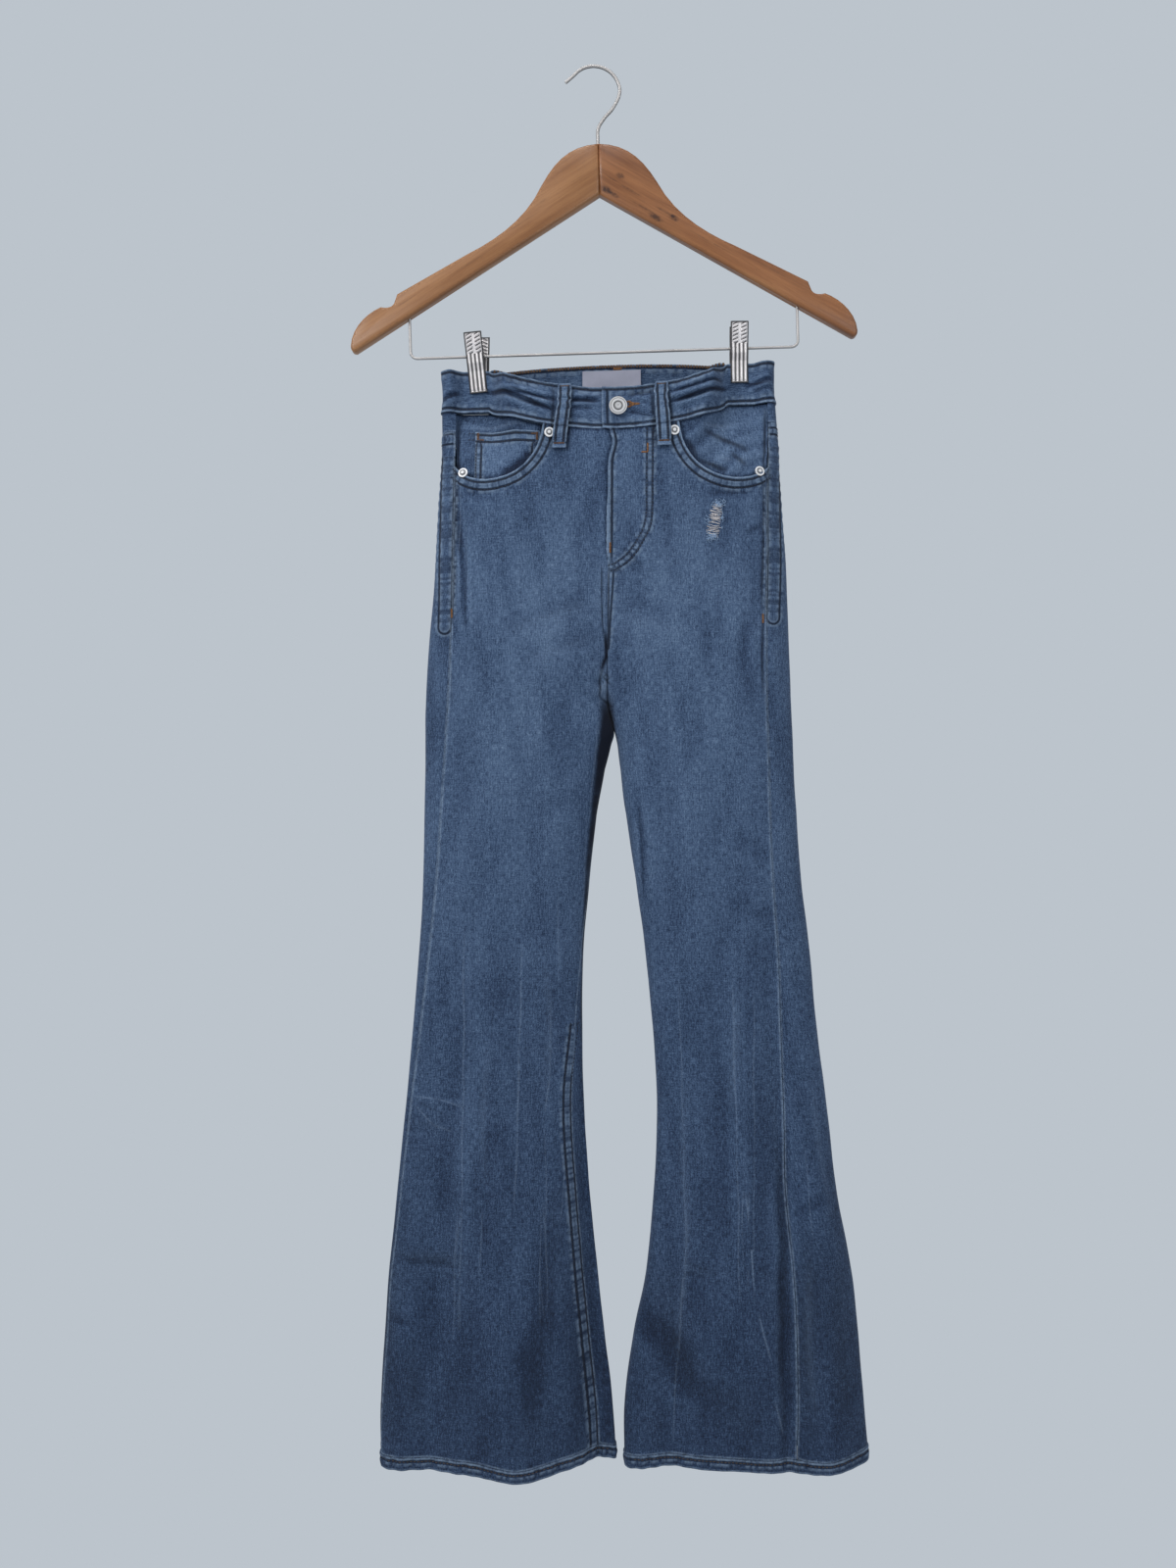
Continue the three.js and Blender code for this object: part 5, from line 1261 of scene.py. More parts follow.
LABEL_FROM, LABEL_TO, LABEL_UNDER, LABEL_TALL = -10, 43, 5, 24
satin, tree, sockets = new_material("satin_label")
where = node(tree, "TexCoord").outputs["Object"]
wave = node(tree, "TexWave", {"Vector": where, "Scale": 700.0, "Distortion": 0.4}, bands_direction="Z")
threads = wave.outputs["Fac"]
look = sum_of(tree, [(threads, 0.12, 0.5), (object_noise(tree, 60.0, 3.0), 0.5, 0.5)], 0.5)
tree.links.new(ramp(tree, look, [(0.2, dye(142, 144, 162)), (0.8, dye(178, 180, 200))]), sockets["Base Color"])
bumped(tree, sockets, threads, 0.4, 0.0004)
sockets["Roughness"].default_value = 0.42

xs = np.linspace(LABEL_FROM, LABEL_TO, 60)
top = band_top(BACK, CENTRE_X) + LABEL_UNDER
below = top + LABEL_TALL * np.linspace(0, 1, 28)[:, None] + 0 * xs
leg = (xs > CENTRE_X) + np.zeros(below.shape, bool)
bow = 0.35 * np.sin(below * 0.31 + xs * 0.04) + 0.5 * np.exp(-(((xs - 14) / 7) ** 2)) * np.sin(below * 0.2)
label = cloth("inner_label_cloth", leg, BACK, angle_at(leg, BACK, xs + 0 * below, below), below, satin,
              lift=-(CLOTH + GAP) - 0.4, thick=0.6, borders="", extra=-bow * 0.4,
              inside=satin)

# A woven edge of thread runs along the inside of the band's top, with a tack at the back.
ACROSS, UP = np.array([1, 0, 0]), np.array([0, 0, 1])
tan_thread = thread("tan_thread", dye(58, 46, 42), dye(118, 90, 66))
for name, spun, xs, under_top, sunk, along, across, tall in [
    ("waistband_chain_stitches", tan_thread, np.arange(-132, 158, 2.6), 1.2, 0.25, 1.25 * ACROSS, 1.3 * UP, 0.55),
    ("waistband_inner_tack", orange_thread, 18.5 + 0.85 * np.arange(9), 3.4, 0.3, 1.5 * UP, 0.45 * ACROSS, 0.6),
]:
    points, faces = [], []
    for centre, out in zip(*onto(BACK, xs, band_top(BACK, xs) + under_top)):
        add_stitch(points, faces, centre - out * (CLOTH + sunk), along, across, -out * tall)
    stitched(name, points, faces, spun)

# The buttonhole is worked through the tab: a keyhole of thread round a dark slit.
hole = smooth_line([(29.2, 37.2), (31.4, 36.6), (34, 38.2), (40, 39.0), (34, 39.9), (31.4, 41.4), (29.2, 40.8)], 34)
rows = []
for a, b in zip(hole[:-1], hole[1:]):
    across = np.array([b[1] - a[1], a[0] - b[0]]) / np.hypot(*(b - a)) * 1.2
    rows.append((FRONT, np.array([(a + b) / 2 - across, (a + b) / 2 + across]), 2.4, THREAD_HALF, THREAD_TALL))
rows += [(FRONT, np.array([(x_at, 39 - reach), (x_at, 39 + reach)]), 2 * reach, 0.45, THREAD_TALL)
         for x_at, reach in [(31.5, 1.9), (32.6, 1.6), (33.7, 1.4), (34.8, 1.1), (35.9, 0.9), (37, 0.8), (38, 0.7)]]
sew("buttonhole", orange_thread, [band], rows)

# ---- The belt loops ----
# Five strips of denim, folded in three, stand over the waistband. Each is sewn with two rows
# along its sides, and bar-tacked at both ends.

# Each loop: its face, its middle, how far it is lifted and how far it leans towards its foot.
LOOPS = [("loop_front_right", FRONT, -25.6, 0.5, -4.8), ("loop_front_left", FRONT, 59.6, 1.0, 2.4),
         ("loop_back_right", BACK, -76, 1.0, 1.2), ("loop_back_middle", BACK, 12.5, 0.3, -0.8),
         ("loop_back_left", BACK, 101, 1.0, -1.4)]
LOOP_WIDE, LOOP_UNDER, LOOP_THICK, LOOP_BOW, LOOP_ROW = 13, 20, 2, 1.4, 3.6
for name, face, middle_x, lift, lean in LOOPS:
    share = np.linspace(-1, 1, 27)
    mark = np.linspace(0, 1, 74)[:, None]
    pinch = 1 - 0.1 * np.exp(-((mark / 0.05) ** 2)) - 0.06 * np.exp(-(((mark - 0.93) / 0.03) ** 2))
    xs = middle_x + share * LOOP_WIDE / 2 * pinch + lean * smooth(0.1, 1, mark)
    start = band_top(face, np.array([middle_x]))[0]
    tall = BAND_TALL + LOOP_UNDER
    below = start + tall * mark + 0 * xs
    leg = xs > CENTRE_X
    raised = BAND_PROUD + lift + LOOP_BOW * np.sin(np.pi * mark) + LOOP_THICK + 0 * xs
    fold = 0.8 * np.exp(-(((mark - 0.985) / 0.03) ** 2)) - 0.7 * np.exp(-(((mark - 0.925) / 0.014) ** 2))
    fold = fold - 0.5 * np.exp(-(((mark - 0.04) / 0.014) ** 2)) - 0.7 * np.abs(share) ** 6
    wave = 0.12 * np.sin(below * 1.9 + middle_x) * np.exp(-(((np.abs(share) - 0.72) / 0.2) ** 2))
    down = np.linspace(1.5, tall - 5, 30)
    row_lines = [np.stack([middle_x + s * LOOP_ROW + lean * smooth(0.1, 1, down / tall), start + down], -1)
                 for s in (-1, 1)]
    # The outermost columns of each loop are painted darker, as shade where its sides turn down.
    loop = cloth(f"{name}_cloth", leg, face, angle_at(leg, face, xs, below), below, leg_denim,
                 [(line, 0.3) for line in row_lines], lift=raised, thick=LOOP_THICK,
                 extra=fold + wave, paler=0.1 - 0.16 * (np.abs(share) > 0.9))
    sew(f"{name}_stitches", navy_thread, [loop], [(face, line, 3.0, THREAD_HALF, FLAT_THREAD) for line in row_lines])
    foot, low, high = middle_x + lean, start + tall - 4.3, start + 2.3
    sew(f"{name}_tacks", brown_thread, [loop], tack(face, (foot - 4.6, low), (foot + 4.6, low), 1.4))
    sew(f"{name}_top_tack", tan_thread, [loop], tack(face, (middle_x - 4, high), (middle_x + 4, high), 0.8))

# ---- The zip ----
# A metal zip lies closed behind the fly. Its teeth are clamped to a ribbed woven tape, which is
# sewn to the underlap.

ZIP_X, ZIP_HALF, ZIP_TOP, ZIP_END = 18, 13, 60, 172
zip_tape, tree, sockets = new_material("zip_tape")
ribs = node(tree, "TexWave", {"Vector": node(tree, "UVMap", uv_map="cloth").outputs[0], "Scale": 26.0},
            bands_direction="X").outputs["Fac"]
tree.links.new(ramp(tree, ribs, [(0.2, dye(34, 40, 54)), (0.8, dye(52, 60, 78))]), sockets["Base Color"])
sockets["Roughness"].default_value = 0.8
below, xs = np.meshgrid(np.linspace(ZIP_TOP, ZIP_END, 60), np.linspace(ZIP_X - ZIP_HALF, ZIP_X + ZIP_HALF, 30),
                        indexing="ij")
leg = xs > CENTRE_X
tape = cloth("fly_zip_cloth", leg, FRONT, angle_at(leg, FRONT, xs, below), below, zip_tape,
             lift=-(CLOTH + LAYER) - 0.5, thick=0.7, borders="", inside=zip_tape)


def steel(name, dark, light, rough, scale=40.0, metallic=0.6):
    """Brushed steel, dulled in soft patches, for the small metal parts. It is painted near black where a piece marks
    painted shade or dark reflection.
    """
    material, tree, sockets = new_material(name)
    smear = object_noise(tree, scale, 3.0)
    painted_dark = node(tree, "Attribute", attribute_name="painted_dark").outputs["Fac"]
    bright = ramp(tree, smear, [(0.3, dark), (0.7, light)])
    tree.links.new(blended(tree, painted_dark, bright, dye(34, 34, 38)), sockets["Base Color"])
    tree.links.new(ramp(tree, smear, [(0.3, rough + 0.06), (0.7, rough)]), sockets["Roughness"])
    sockets["Metallic"].default_value = metallic
    return material


def mark_painted_dark(obj, depth):
    """Notes how much painted shade or dark reflection each vertex gets, from a function of its place in millimetres.
    """
    values = [depth(*(vertex.co * 1000)) for vertex in obj.data.vertices]
    obj.data.attributes.new("painted_dark", "FLOAT", "POINT").data.foreach_set("value", values)


zip_steel = steel("zip_steel", dye(120, 118, 112), dye(188, 184, 176), 0.35)
bpy.ops.object.select_all(action="DESELECT")
bpy.ops.mesh.primitive_cube_add(size=1)
tooth = bpy.context.object
tooth.scale = (0.0042, 0.0011, 0.0013)
bpy.ops.object.transform_apply(location=False, rotation=False, scale=True)
edge_round = tooth.modifiers.new("round", "BEVEL")
edge_round.width = 0.0003
edge_round.segments = 1
bpy.ops.object.modifier_apply(modifier=edge_round.name)
points, faces = [], []
corners = [np.array(v.co) * 1000 for v in tooth.data.vertices]
teeth_at = np.arange(ZIP_TOP + 2, ZIP_END - 4, 2.1)
middle, up = onto(FRONT, np.full(teeth_at.shape, ZIP_X), teeth_at)
for index, (centre, out) in enumerate(zip(middle, up)):
    start = len(points)
    shift = (0.9 if index % 2 else -0.9) * ACROSS
    points += [centre - out * (CLOTH + LAYER + 1.9) + shift + corner for corner in corners]
    faces += [[start + i for i in face.vertices] for face in tooth.data.polygons]
bpy.data.objects.remove(tooth)
teeth = finished(new_mesh("zip_teeth", points, faces), zip_steel, angle=30)

# ---- The hems ----
# Each leg ends in a narrow hem. It is the leg's own denim, turned up twice inside and sewn with
# one row, which draws it up into puckers.

HEM_PROUD, HEM_ROW = 0.5, 3.2
hem_thread = thread("hem_thread", dye(44, 38, 38), dye(86, 72, 62))

for leg, hem_round in ((RIGHT_LEG, 0.45), (LEFT_LEG, 0.46)):
    side = LEGS[leg]
    turn = np.concatenate([front_angle(leg, np.linspace(0, 1, 130)[:-1], np.full(129, float(LENGTH))),
                           back_angle(leg, np.linspace(0, 1, 150)[:-1], np.full(149, float(LENGTH)))])
    face = (turn > 360) | ((turn > 0) & (turn <= 180))
    low = hem_line(leg, turn)
    mark = np.linspace(0, 1, 15)[:, None]
    below = low - HEM_TALL * (1 - mark)
    x = across_at(leg, turn, low)
    line_x = np.linspace(x.min(), x.max(), 90)
    line_angle = angle_at(leg, FRONT, line_x, np.full(90, float(LENGTH)))
    row_line = np.stack([line_x, hem_line(leg, line_angle) - HEM_TALL + HEM_ROW], -1)
    round_way = girth(np.full(turn.shape, leg), turn, low)
    pucker_hem = np.sin(round_way / 2.3 + 1.7 * np.sin(round_way / 17)) * (0.6 + 0.4 * np.sin(round_way / 29))
    below = below + mark * (0.35 * pucker_hem + 0.4 * np.sin(round_way / 11))
    puff = 0.7 * pucker_hem * np.sin(np.pi * np.clip(mark * 1.15, 0, 1)) + 0.5 * np.sin(np.pi * mark)
    puff = puff - 0.6 * np.exp(-(((mark - 0.29) / 0.08) ** 2)) + 0.4 * np.exp(-((mark / 0.12) ** 2))
    hem = cloth(f"hem_{side}_cloth", leg, face, turn, below, leg_denim,
                [(row_line, 0.3)], lift=HEM_PROUD, thick=CLOTH + 2 * HEM_PROUD, ring=True,
                borders="tb", grain_x=GRAIN_X[leg], extra=puff - 0.2, paler=-0.03)
    sew(f"hem_{side}_stitches", hem_thread, [hem],
        [(sewn_face, row_line[3:-3], 3.3, THREAD_HALF, FLAT_THREAD) for sewn_face in (FRONT, BACK)])

# ---- The button and the rivets ----
# The button is a shank button with rings pressed into its face. Four small rivets with raised
# centres hold the ends of the pocket mouths.

silver = steel("button_silver", dye(214, 213, 214), dye(246, 246, 247), 0.36, 60.0, 0.45)


def turned(name, profile, shade_rings, x, below, lift, material):
    """A turned metal piece on the front, from a (radius, height) profile and (radius, painted shade) rings."""
    bpy.ops.object.select_all(action="DESELECT")
    radius, height = profile[0]
    bpy.ops.mesh.primitive_circle_add(vertices=48, radius=radius / 1000, fill_type="NGON",
                                      location=(0, 0, height / 1000))
    obj = bpy.context.object
    obj.name = name
    bpy.ops.object.mode_set(mode="EDIT")
    bpy.ops.mesh.select_all(action="SELECT")
    for wide, tall in profile[1:]:
        grow = wide / radius
        bpy.ops.mesh.extrude_region_move(TRANSFORM_OT_translate={"value": (0, 0, (tall - height) / 1000)})
        bpy.ops.transform.resize(value=(grow, grow, 1), center_override=(0, 0, 0))
        radius, height = wide, tall
    bpy.ops.mesh.select_all(action="SELECT")
    bpy.ops.mesh.normals_make_consistent(inside=False)
    bpy.ops.object.mode_set(mode="OBJECT")
    wides, shade_at = zip(*shade_rings)
    # The rings pressed into the face, and the rim, are painted dark as shade.
    mark_painted_dark(obj, lambda x, y, z: float(np.interp(math.hypot(x, y), wides, shade_at)))
    point, normal = (found[0] for found in onto(FRONT, [x], [below]))
    obj.location = (point + normal * lift) / 1000
    obj.rotation_euler = Vector(normal).to_track_quat("Z", "Y").to_euler()
    bpy.ops.object.transform_apply()
    finished(obj, material, (name,), angle=24)
    obj.name = f"{name}_metal"


turned("waist_button", [
    (3.2, 0), (3.2, 1.6), (7.7, 1.9), (8.15, 2.6), (8.1, 3.3), (7.7, 3.8), (7.1, 3.9), (6.8, 3.5), (6.3, 3.5),
    (6.0, 3.8), (4.4, 3.9), (4.0, 3.4), (3.4, 3.4), (3.1, 3.8), (1.2, 3.9), (0.9, 3.5), (0.3, 3.5),
], [(0, 0.3), (0.8, 0.3), (1.2, 0), (2.9, 0), (3.4, 0.95), (3.9, 0.95), (4.4, 0), (6.0, 0), (6.4, 0.5), (6.8, 0.5),
    (7.1, 0), (7.7, 0), (8.15, 0.95)], 21.5, FRONT_DIP + 18, BAND_PROUD + GAP + 0.3, silver)

RIVET = [(3.9, 0), (4.45, 0.25), (4.5, 0.7), (4.1, 1.15), (3.3, 1.2), (2.6, 0.8), (2.0, 0.75), (1.75, 1.0),
         (1.6, 1.7), (1.2, 2.05), (0.3, 2.15)]
RIVET_SHADE_RINGS = [(0, 0.1), (1.3, 0.1), (1.8, 0.85), (2.5, 0.75), (3.1, 0), (4.1, 0), (4.5, 0.7)]
rivet_silver = steel("rivet_silver", dye(222, 222, 224), dye(248, 248, 250), 0.5, 40.0, 0.3)
RIVET_LIFT = LAYER + 1.1
for leg, inward, top_in, side_down in ((RIGHT_LEG, 1, 6, 8.5), (LEFT_LEG, -1, 3.9, 5.5)):
    start = SCOOPS[leg][0]
    low = scoop_edge(leg, 1.0) + side_down
    side_x = edge(leg, "outer", low) + inward * (edge(leg, "outseam", low) + 8.6)
    for part, x, below in (("top", start + inward * top_in, band_bottom(FRONT, start) + 9), ("side", side_x, low)):
        turned(f"rivet_{part}_{LEGS[leg]}", RIVET, RIVET_SHADE_RINGS, x, below, RIVET_LIFT, rivet_silver)

# ---- The worn patch ----
# A small place on the left hip where the blue warp has worn away, with the pale weft still
# across it and loose blue tufts round its edge.

cream_thread = thread("cream_thread", dye(188, 182, 184), dye(236, 230, 228))
tuft_thread = thread("tuft_thread", dye(104, 130, 164), dye(158, 182, 210))
dice = np.random.default_rng(7)


def strands(name, spun, lines, radius, height):
    """Fine threads lying on the fronts along lines, with a soft rise between their ends."""
    tree, points, faces = tree_of(*fronts), [], []
    for line in lines:
        path, normals = on_cloth(tree, FRONT, np.array(line))
        share = np.linspace(0, 1, len(path))[:, None]
        path = path + normals * (0.1 + height * np.sin(np.pi * share) ** 0.6)
        run = np.gradient(path, axis=0)
        run /= np.linalg.norm(run, axis=1, keepdims=True)
        side = np.cross(normals, run)
        start = len(points)
        for centre, across, up, s in zip(path, side, normals, share[:, 0]):
            thin = radius * (0.35 + 0.65 * np.sin(np.pi * min(max(s, 0.03), 0.97)) ** 0.4)
            points += [centre + around * thin for around in (across, up, -across, -up)]
        for step in range(len(path) - 1):
            for turn in range(4):
                a, b = start + 4 * step + turn, start + 4 * step + (turn + 1) % 4
                faces.append((a, b, b + 4, a + 4))
        faces += [(start + 3, start + 2, start + 1, start), tuple(start + 4 * len(path) - 4 + i for i in range(4))]
    stitched(name, points, faces, spun)


patch_left = smooth_line([(105, 130), (103.5, 137), (102, 144), (100.5, 150), (100.5, 156), (102.5, 160)])
patch_right = smooth_line([(112.5, 129), (112.5, 136), (111.5, 143), (111, 149), (109.5, 155), (108, 159)])
lines = []
for at in np.arange(130.5, 159, 0.95):
    if dice.uniform() < 0.14:
        continue
    at = at + dice.uniform(-0.25, 0.25)
    x0 = np.interp(at, patch_left[:, 1], patch_left[:, 0]) + dice.uniform(-1.6, 1.4)
    x1 = np.interp(at, patch_right[:, 1], patch_right[:, 0]) + dice.uniform(-1.4, 1.4)
    share = np.linspace(0, 1, 8)
    sag = dice.uniform(-0.8, 0.9) * np.sin(np.pi * share) + 0.3 * np.sin(share * 7 + at) + 1.6 * (share - 0.5)
    lines.append(np.stack([x0 + (x1 - x0) * share, at + sag], -1))
strands("worn_patch_weft", cream_thread, lines, 0.27, 0.5)
lines = []
# Each cloud of tufts: how many, the place of its middle, and its half width and half height.
TUFTS = [(46, 109.5, 129.5, 5.0, 2.2), (52, 104.5, 158.5, 4.5, 2.4), (14, 101, 146, 1.4, 8), (14, 112.5, 142, 1.2, 8)]
share = np.linspace(0, 1, 6)
for count, middle_x, middle_down, wide, tall in TUFTS:
    for _ in range(count):
        x, down = middle_x + dice.normal() * wide * 0.5, middle_down + dice.normal() * tall * 0.5
        turn, long = dice.uniform(0, 2 * math.pi), dice.uniform(1.8, 4.4)
        heading = turn + dice.uniform(-2.4, 2.4) * share
        lines.append(np.stack([x + long * share * np.cos(heading), down + long * share * np.sin(heading)], -1))
strands("worn_patch_tufts", tuft_thread, lines, 0.24, 0.7)

# ---- The wooden arms ----
# Two arms of lacquered beech meet in a mitre under the hook. The grain runs along each arm, and
# the arm on the wearer's left is redder, with dark knots near the mitre.

HANGER_TILT, HOOK_RADIUS, HOOK_WIRE, BAR_WIRE = math.radians(1.8), 23.5, 3, 2.4
ARC_X, ARC_Z, BAR_HALF, BAR_DOWN, ARM_SLOPE, MITRE_Z = -2.5, 48, 174, -186, 0.602, -45.5
CROWN_X = ARC_X * math.cos(HANGER_TILT) - ARC_Z * math.sin(HANGER_TILT)
CROWN_Z = ARC_X * math.sin(HANGER_TILT) + ARC_Z * math.cos(HANGER_TILT)
HANGER_X, HANGER_Z = -CROWN_X, -CROWN_Z - HOOK_RADIUS + HOOK_WIRE / 2


def on_hanger(x, y, z):
    """A place on the hanger, in metres, from its own millimetres before it was tilted."""
    turn = HANGER_TILT
    return ((HANGER_X + x * math.cos(turn) - z * math.sin(turn)) / 1000, y / 1000,
            (HANGER_Z + x * math.sin(turn) + z * math.cos(turn)) / 1000)


timber, given, made_of = new_group(
    "lacquered_beech",
    [("Along", "Vector"), ("Knots", "Float"), ("Redness", "Float")],
    [("Color", "Color"), ("Height", "Float"), ("Gloss", "Float")],
)


def along_noise(stretch, detail, roughness=0.55, distortion=0.0):
    spread = node(timber, "VectorMath", {0: given["Along"], 1: stretch}, operation="MULTIPLY")
    return node(timber, "TexNoise", {"Vector": spread.outputs[0], "Scale": 1.0, "Detail": detail,
                                     "Roughness": roughness, "Distortion": distortion}).outputs["Fac"]


fibre = along_noise((60, 900, 1500), 3.0)
bands = along_noise((9, 90, 210), 3.0, 0.6, 0.35)
flecks = along_noise((170, 1500, 2600), 1.0)
broad = along_noise((9, 30, 40), 2.0)
tone = sum_of(timber, [(fibre, 0.28, 0.5), (bands, 0.6, 0.5), (broad, 0.5, 0.5)], 0.5)
pale_wood = ramp(timber, tone, [(0.05, dye(95, 57, 31)), (0.38, dye(137, 91, 54)), (0.62, dye(159, 112, 71)),
                                (0.95, dye(180, 134, 92))])
red_wood = ramp(timber, tone, [(0.05, dye(68, 34, 16)), (0.38, dye(113, 64, 31)), (0.62, dye(148, 93, 52)),
                               (0.95, dye(175, 123, 77))])
wood = blended(timber, given["Redness"], pale_wood, red_wood)
fleck_mark = ramp(timber, flecks, [(0.66, 0.0), (0.72, 0.55)])
wood = blended(timber, fleck_mark, wood, dye(104, 70, 46))
wood = blended(timber, given["Knots"], wood, dye(52, 23, 10))
timber.links.new(wood, made_of["Color"])
timber.links.new(sum_of(timber, [(fibre, 0.3, 0.5), (fleck_mark, -0.35, 0.0)], 0.5), made_of["Height"])
timber.links.new(ramp(timber, broad, [(0.3, 0.36), (0.7, 0.5)]), made_of["Gloss"])


def along_arm(tree, where, origin, slope):
    """Places measured from an origin on the hanger, along and across an arm that slopes."""
    centred = node(tree, "VectorMath", {0: where, 1: on_hanger(*origin)}, operation="SUBTRACT").outputs[0]
    return node(tree, "VectorRotate", {"Vector": centred, "Angle": -slope}, rotation_type="Y_AXIS").outputs[0]


# Knots and dark streaks: across, up, half length along the grain, half width, and depth.
KNOTS = [(18.9, -30.1, 5, 3.0, 1.0), (6.2, -42.4, 6, 3.6, 1.0), (13, -47.1, 5.5, 2.4, 0.9),
         (49.4, -68.5, 9, 3.0, 0.85), (65.2, -69, 6, 3.2, 1.0), (40, -60, 18, 1.3, 0.5), (27, -43, 14, 1.2, 0.55),
         (12, -33, 9, 1.0, 0.45), (57, -63, 10, 1.4, 0.5), (98, -92, 30, 1.0, 0.4), (150, -117, 26, 1.0, 0.35)]
STREAKED = [(-20, -32, 8, 0.8, 0.2), (-120, -105, 30, 1.0, 0.22), (-70, -69, 22, 1.1, 0.22),
            (-52, -51, 9, 1.2, 0.22), (-176, -136, 16, 1.1, 0.28)]
for name, marks, redness, side in (("arm_left", KNOTS, 0.72, 1), ("arm_right", STREAKED, 0.0, -1)):
    arm = added(f"{name}_beech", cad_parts[name].data.copy())
    select_only(arm)
    bpy.ops.object.mode_set(mode="EDIT")
    bpy.ops.mesh.select_all(action="SELECT")
    bpy.ops.mesh.remove_doubles(threshold=0.00002)
    bpy.ops.object.mode_set(mode="OBJECT")
    # The two faces of the mitre are drawn together, until a hairline is left between them.
    level = Vector((math.cos(HANGER_TILT), 0, math.sin(HANGER_TILT)))
    for vertex in arm.data.vertices:
        from_mitre = (vertex.co - Vector(on_hanger(0, 0, 0))).dot(level)
        if abs(from_mitre) < 0.0004:
            vertex.co -= level * from_mitre * 0.85
    beech, tree, sockets = new_material(f"beech_{name}")
    where = node(tree, "TexCoord").outputs["Object"]
    slope = side * math.atan(ARM_SLOPE) - HANGER_TILT
    along = along_arm(tree, where, (0, 0, MITRE_Z), slope)
    total = 0.0
    for x, z, long, wide, deep in marks:
        here = along_arm(tree, where, (x, 0, z), slope)
        here = node(tree, "VectorMath", {0: here, 1: (1000 / long, 0, 1000 / wide)}, operation="MULTIPLY").outputs[0]
        away = node(tree, "VectorMath", {0: here}, operation="LENGTH").outputs["Value"]
        total = worked(tree, "ADD", ramp(tree, away, [(0.45, deep), (1.0, 0.0)]), total)
    ragged = node(tree, "TexNoise", {"Vector": along, "Scale": 420.0, "Detail": 3.0}).outputs["Fac"]
    total = product(tree, total, ramp(tree, ragged, [(0.32, 0.35), (0.6, 1.0)]))
    look = node(tree, "Group", node_tree=timber)
    look.inputs["Redness"].default_value = redness
    tree.links.new(total, look.inputs["Knots"])
    tree.links.new(along, look.inputs["Along"])
    tree.links.new(look.outputs["Color"], sockets["Base Color"])
    tree.links.new(look.outputs["Gloss"], sockets["Roughness"])
    bumped(tree, sockets, look.outputs["Height"], 0.35, 0.0004)
    sockets["Coat Weight"].default_value = 0.12
    sockets["Coat Roughness"].default_value = 0.25
    finished(arm, beech, (name,), angle=28)

# ---- The hook and the trouser bar ----
# Both are bent from round steel wire. The hook's stem runs down into the mitre, and the ends of
# the bar turn up into the arms.

wire_steel = steel("wire_steel", dye(176, 172, 170), dye(206, 202, 200), 0.5, 20.0, 0.5)


def new_wire(name, diameter, resolution):
    """A curve with a round section, and no path yet."""
    curve = bpy.data.curves.new(name, "CURVE")
    curve.dimensions = "3D"
    curve.bevel_depth = diameter / 2000
    curve.bevel_resolution = resolution
    curve.resolution_u = 10
    curve.use_fill_caps = True
    return curve


def drawn(name, curve):
    """The curve as a mesh."""
    select_only(added(name, curve))
    bpy.ops.object.convert(target="MESH")
    return bpy.context.object


def bent_wire(name, path, diameter, handles):
    """A wire along a path of hanger millimetres."""
    curve = new_wire(name, diameter, 6)
    spline = curve.splines.new("BEZIER")
    spline.bezier_points.add(len(path) - 1)
    for point, (x, z) in zip(spline.bezier_points, path):
        point.co = on_hanger(x, 0, z)
        point.handle_left_type = point.handle_right_type = handles
    wire = drawn(f"{name}_wire", curve)
    # Painted shade along the wire's edges, as seen from the front and the back.
    mark_painted_dark(wire, lambda x, y, z: 0.9 * smooth(0.2, 0.75, 1 - abs(y) / (diameter / 2)))
    finished(wire, wire_steel, (name,), angle=40)


hook = [(0, -22), (0, -8), (0, 6), (0.6, 15), (6, 24), (14.5, 33.5)]
hook += [(ARC_X + HOOK_RADIUS * math.cos(math.radians(turn)), ARC_Z + HOOK_RADIUS * math.sin(math.radians(turn)))
         for turn in range(0, 141, 20)]
bent_wire("hanger_hook", hook + [(-27.5, 57.5)], HOOK_WIRE, "AUTO")
rise, bend = MITRE_Z - ARM_SLOPE * BAR_HALF + 16, 6
right_end = [(BAR_HALF - bend + bend * math.sin(turn), BAR_DOWN + bend - bend * math.cos(turn))
             for turn in np.linspace(0, math.pi / 2, 7)] + [(BAR_HALF, rise)]
bent_wire("trouser_bar", [(-x, z) for x, z in reversed(right_end)] + right_end, BAR_WIRE, "VECTOR")

# ---- The clips ----
# Each clip is two sprung plates of bright steel that pivot on the bar. A plate is fluted over
# its lower part, stamped with two columns of slanted ridges above, and flared at its lip.

clip_steel = steel("clip_steel", dye(240, 234, 234), dye(254, 250, 250), 0.42, 40.0, 0.25)
PLATE_LINE = table("up out", [(-31.5, 4.9), (-29, 3.6), (-12, 3.6), (-5, 5.3), (3, 5.3), (12, 7.6), (22, 9)])
PLATE_WIDE, PLATE_TOP, PLATE_LIP, PLATE_THICK = 16, 22, -31.5, 1.0
FLUTES, FLUTE_TOP, FIRST_RIDGE, RIDGE_STEP, RIDGE_SLANT, RIDGE_MIDDLE = (1.8, 5.4), 3.5, 18.6, 3.3, 0.42, 3.4


def press(test, raise_by):
    """Raises the part of the flat plate whose places, in millimetres, pass a test."""
    bpy.ops.object.mode_set(mode="OBJECT")
    for vertex in plate.data.vertices:
        x, y, _ = vertex.co * 1000
        vertex.select = bool(test(x, y))
    for part in (plate.data.edges, plate.data.polygons):
        for item in part:
            item.select = all(plate.data.vertices[i].select for i in item.vertices)
    bpy.ops.object.mode_set(mode="EDIT")
    bpy.ops.transform.translate(value=(0, 0, raise_by / 1000))


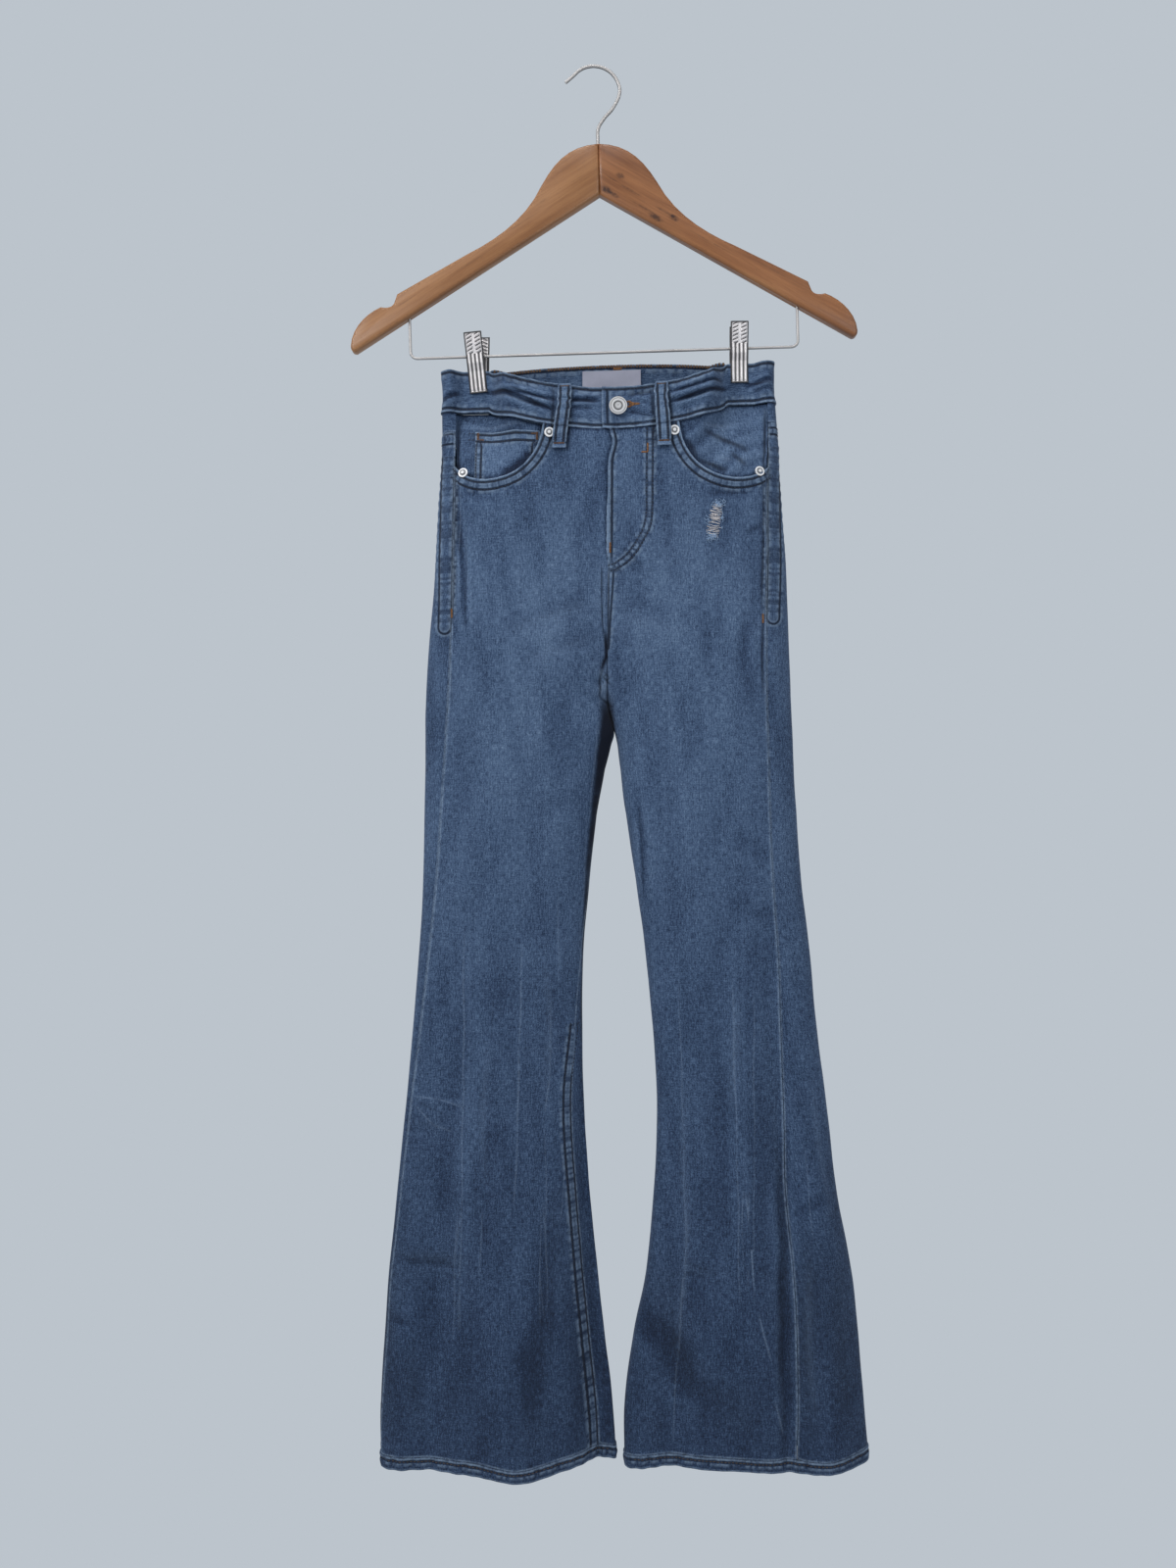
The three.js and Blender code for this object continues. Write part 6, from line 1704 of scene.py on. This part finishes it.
bpy.ops.object.select_all(action="DESELECT")
bpy.ops.mesh.primitive_grid_add(x_subdivisions=32, y_subdivisions=108, size=1)
plate = bpy.context.object
plate.scale = (PLATE_WIDE / 1000, (PLATE_TOP - PLATE_LIP) / 1000, 1)
plate.location = (0, (PLATE_TOP + PLATE_LIP) / 2000, 0)
bpy.ops.object.transform_apply()
bpy.ops.object.mode_set(mode="EDIT")
bpy.context.tool_settings.mesh_select_mode = (True, False, False)
for across in (-FLUTES[1], -FLUTES[0], FLUTES[0], FLUTES[1]):
    for reach, raise_by in ((1.3, 0.4), (0.8, 0.35)):
        press(lambda x, y: abs(x - across) < reach and -29.5 < y < FLUTE_TOP, raise_by)
for side in (-1, 1):
    for step in range(5):
        up = FIRST_RIDGE - RIDGE_STEP * step
        press(lambda x, y: 1.0 < side * x < 5.8 and abs(y - up - RIDGE_SLANT * (x - RIDGE_MIDDLE * side)) < 0.75, 0.9)
press(lambda x, y: abs(abs(x) - PLATE_WIDE / 2) < 0.01, -1.1)
press(lambda x, y: 7.4 < abs(x) < 7.9, -0.4)
bpy.ops.object.mode_set(mode="OBJECT")


def plate_painted_dark(x, y, z):
    """The painted shade and dark reflections of a plate: on its rim, in the valleys between flutes, and under each
    ridge.
    """
    rim = max(smooth(6.3, 7.0, abs(x)), smooth(20.2, 20.9, y), smooth(-30, -30.5, y))
    if y < FLUTE_TOP:
        flute = max(math.exp(-(((abs(x) - at) / 0.85) ** 4)) for at in FLUTES)
        return max(0.95 * rim, 0.92 * (1 - flute))
    step = (FIRST_RIDGE - y + RIDGE_SLANT * (x - math.copysign(RIDGE_MIDDLE, x))) / RIDGE_STEP % 1
    between = smooth(0.26, 0.4, step) * (1 - smooth(0.6, 0.74, step)) * (1.3 < abs(x) < 6.4)
    return max(0.95 * rim, 0.92 * between)


mark_painted_dark(plate, plate_painted_dark)
for vertex in plate.data.vertices:
    out = np.interp(vertex.co.y * 1000, PLATE_LINE["up"], PLATE_LINE["out"])
    vertex.co = (vertex.co.x, -vertex.co.z - out / 1000, vertex.co.y)
wall = plate.modifiers.new("wall", "SOLIDIFY")
wall.thickness = PLATE_THICK / 1000
wall.offset = -1
bpy.ops.object.modifier_apply(modifier=wall.name)


def bar_height(x):
    """How high the bar is at a distance across, because the hanger hangs a little askew."""
    along = (x - HANGER_X + BAR_DOWN * math.sin(HANGER_TILT)) / math.cos(HANGER_TILT)
    return HANGER_Z + along * math.sin(HANGER_TILT) + BAR_DOWN * math.cos(HANGER_TILT)


# Each plate: the way it faces, how far it tips, and how far it is shifted across and up.
PLATES = [("clip_right", RIGHT_LEG, [("front", 1, 6, -1.5, -2), ("back", -1, -0.5, 2.6, -2)]),
          ("clip_left", LEFT_LEG, [("front", 1, 0.5, 0, 0), ("back", -1, -1, 0, 0)])]
COIL_TURNS, COIL_STEPS, COIL_LONG, COIL_RADIUS, COIL_WIRE = 6, 60, 10, 3.2, 1.2
for name, leg, plates in PLATES:
    x = CLIPS[leg]
    for part, facing, tip, shift, rise in plates:
        made = added(f"{name}_{part}_plate", plate.data.copy())
        made.scale = (facing, facing, 1)
        made.rotation_euler = (0, -math.radians(tip), 0)
        made.location = ((x + shift) / 1000, 0, (bar_height(x) + rise) / 1000)
        select_only(made)
        bpy.ops.object.transform_apply()
        finished(made, clip_steel, (f"{name}_{part}",), angle=40)
    curve = new_wire(f"{name}_spring", COIL_WIRE, 2)
    spline = curve.splines.new("POLY")
    spline.points.add(COIL_STEPS)
    for step, point in enumerate(spline.points):
        turn, x_at = step * 2 * math.pi * COIL_TURNS / COIL_STEPS, x + (step / COIL_STEPS - 0.5) * COIL_LONG
        point.co = (x_at / 1000, COIL_RADIUS * math.cos(turn) / 1000,
                    (bar_height(x_at) + COIL_RADIUS * math.sin(turn)) / 1000, 1)
    coil = drawn(f"{name}_spring_coil", curve)
    finished(coil, wire_steel, (f"{name}_spring",), angle=40)
bpy.data.objects.remove(plate)
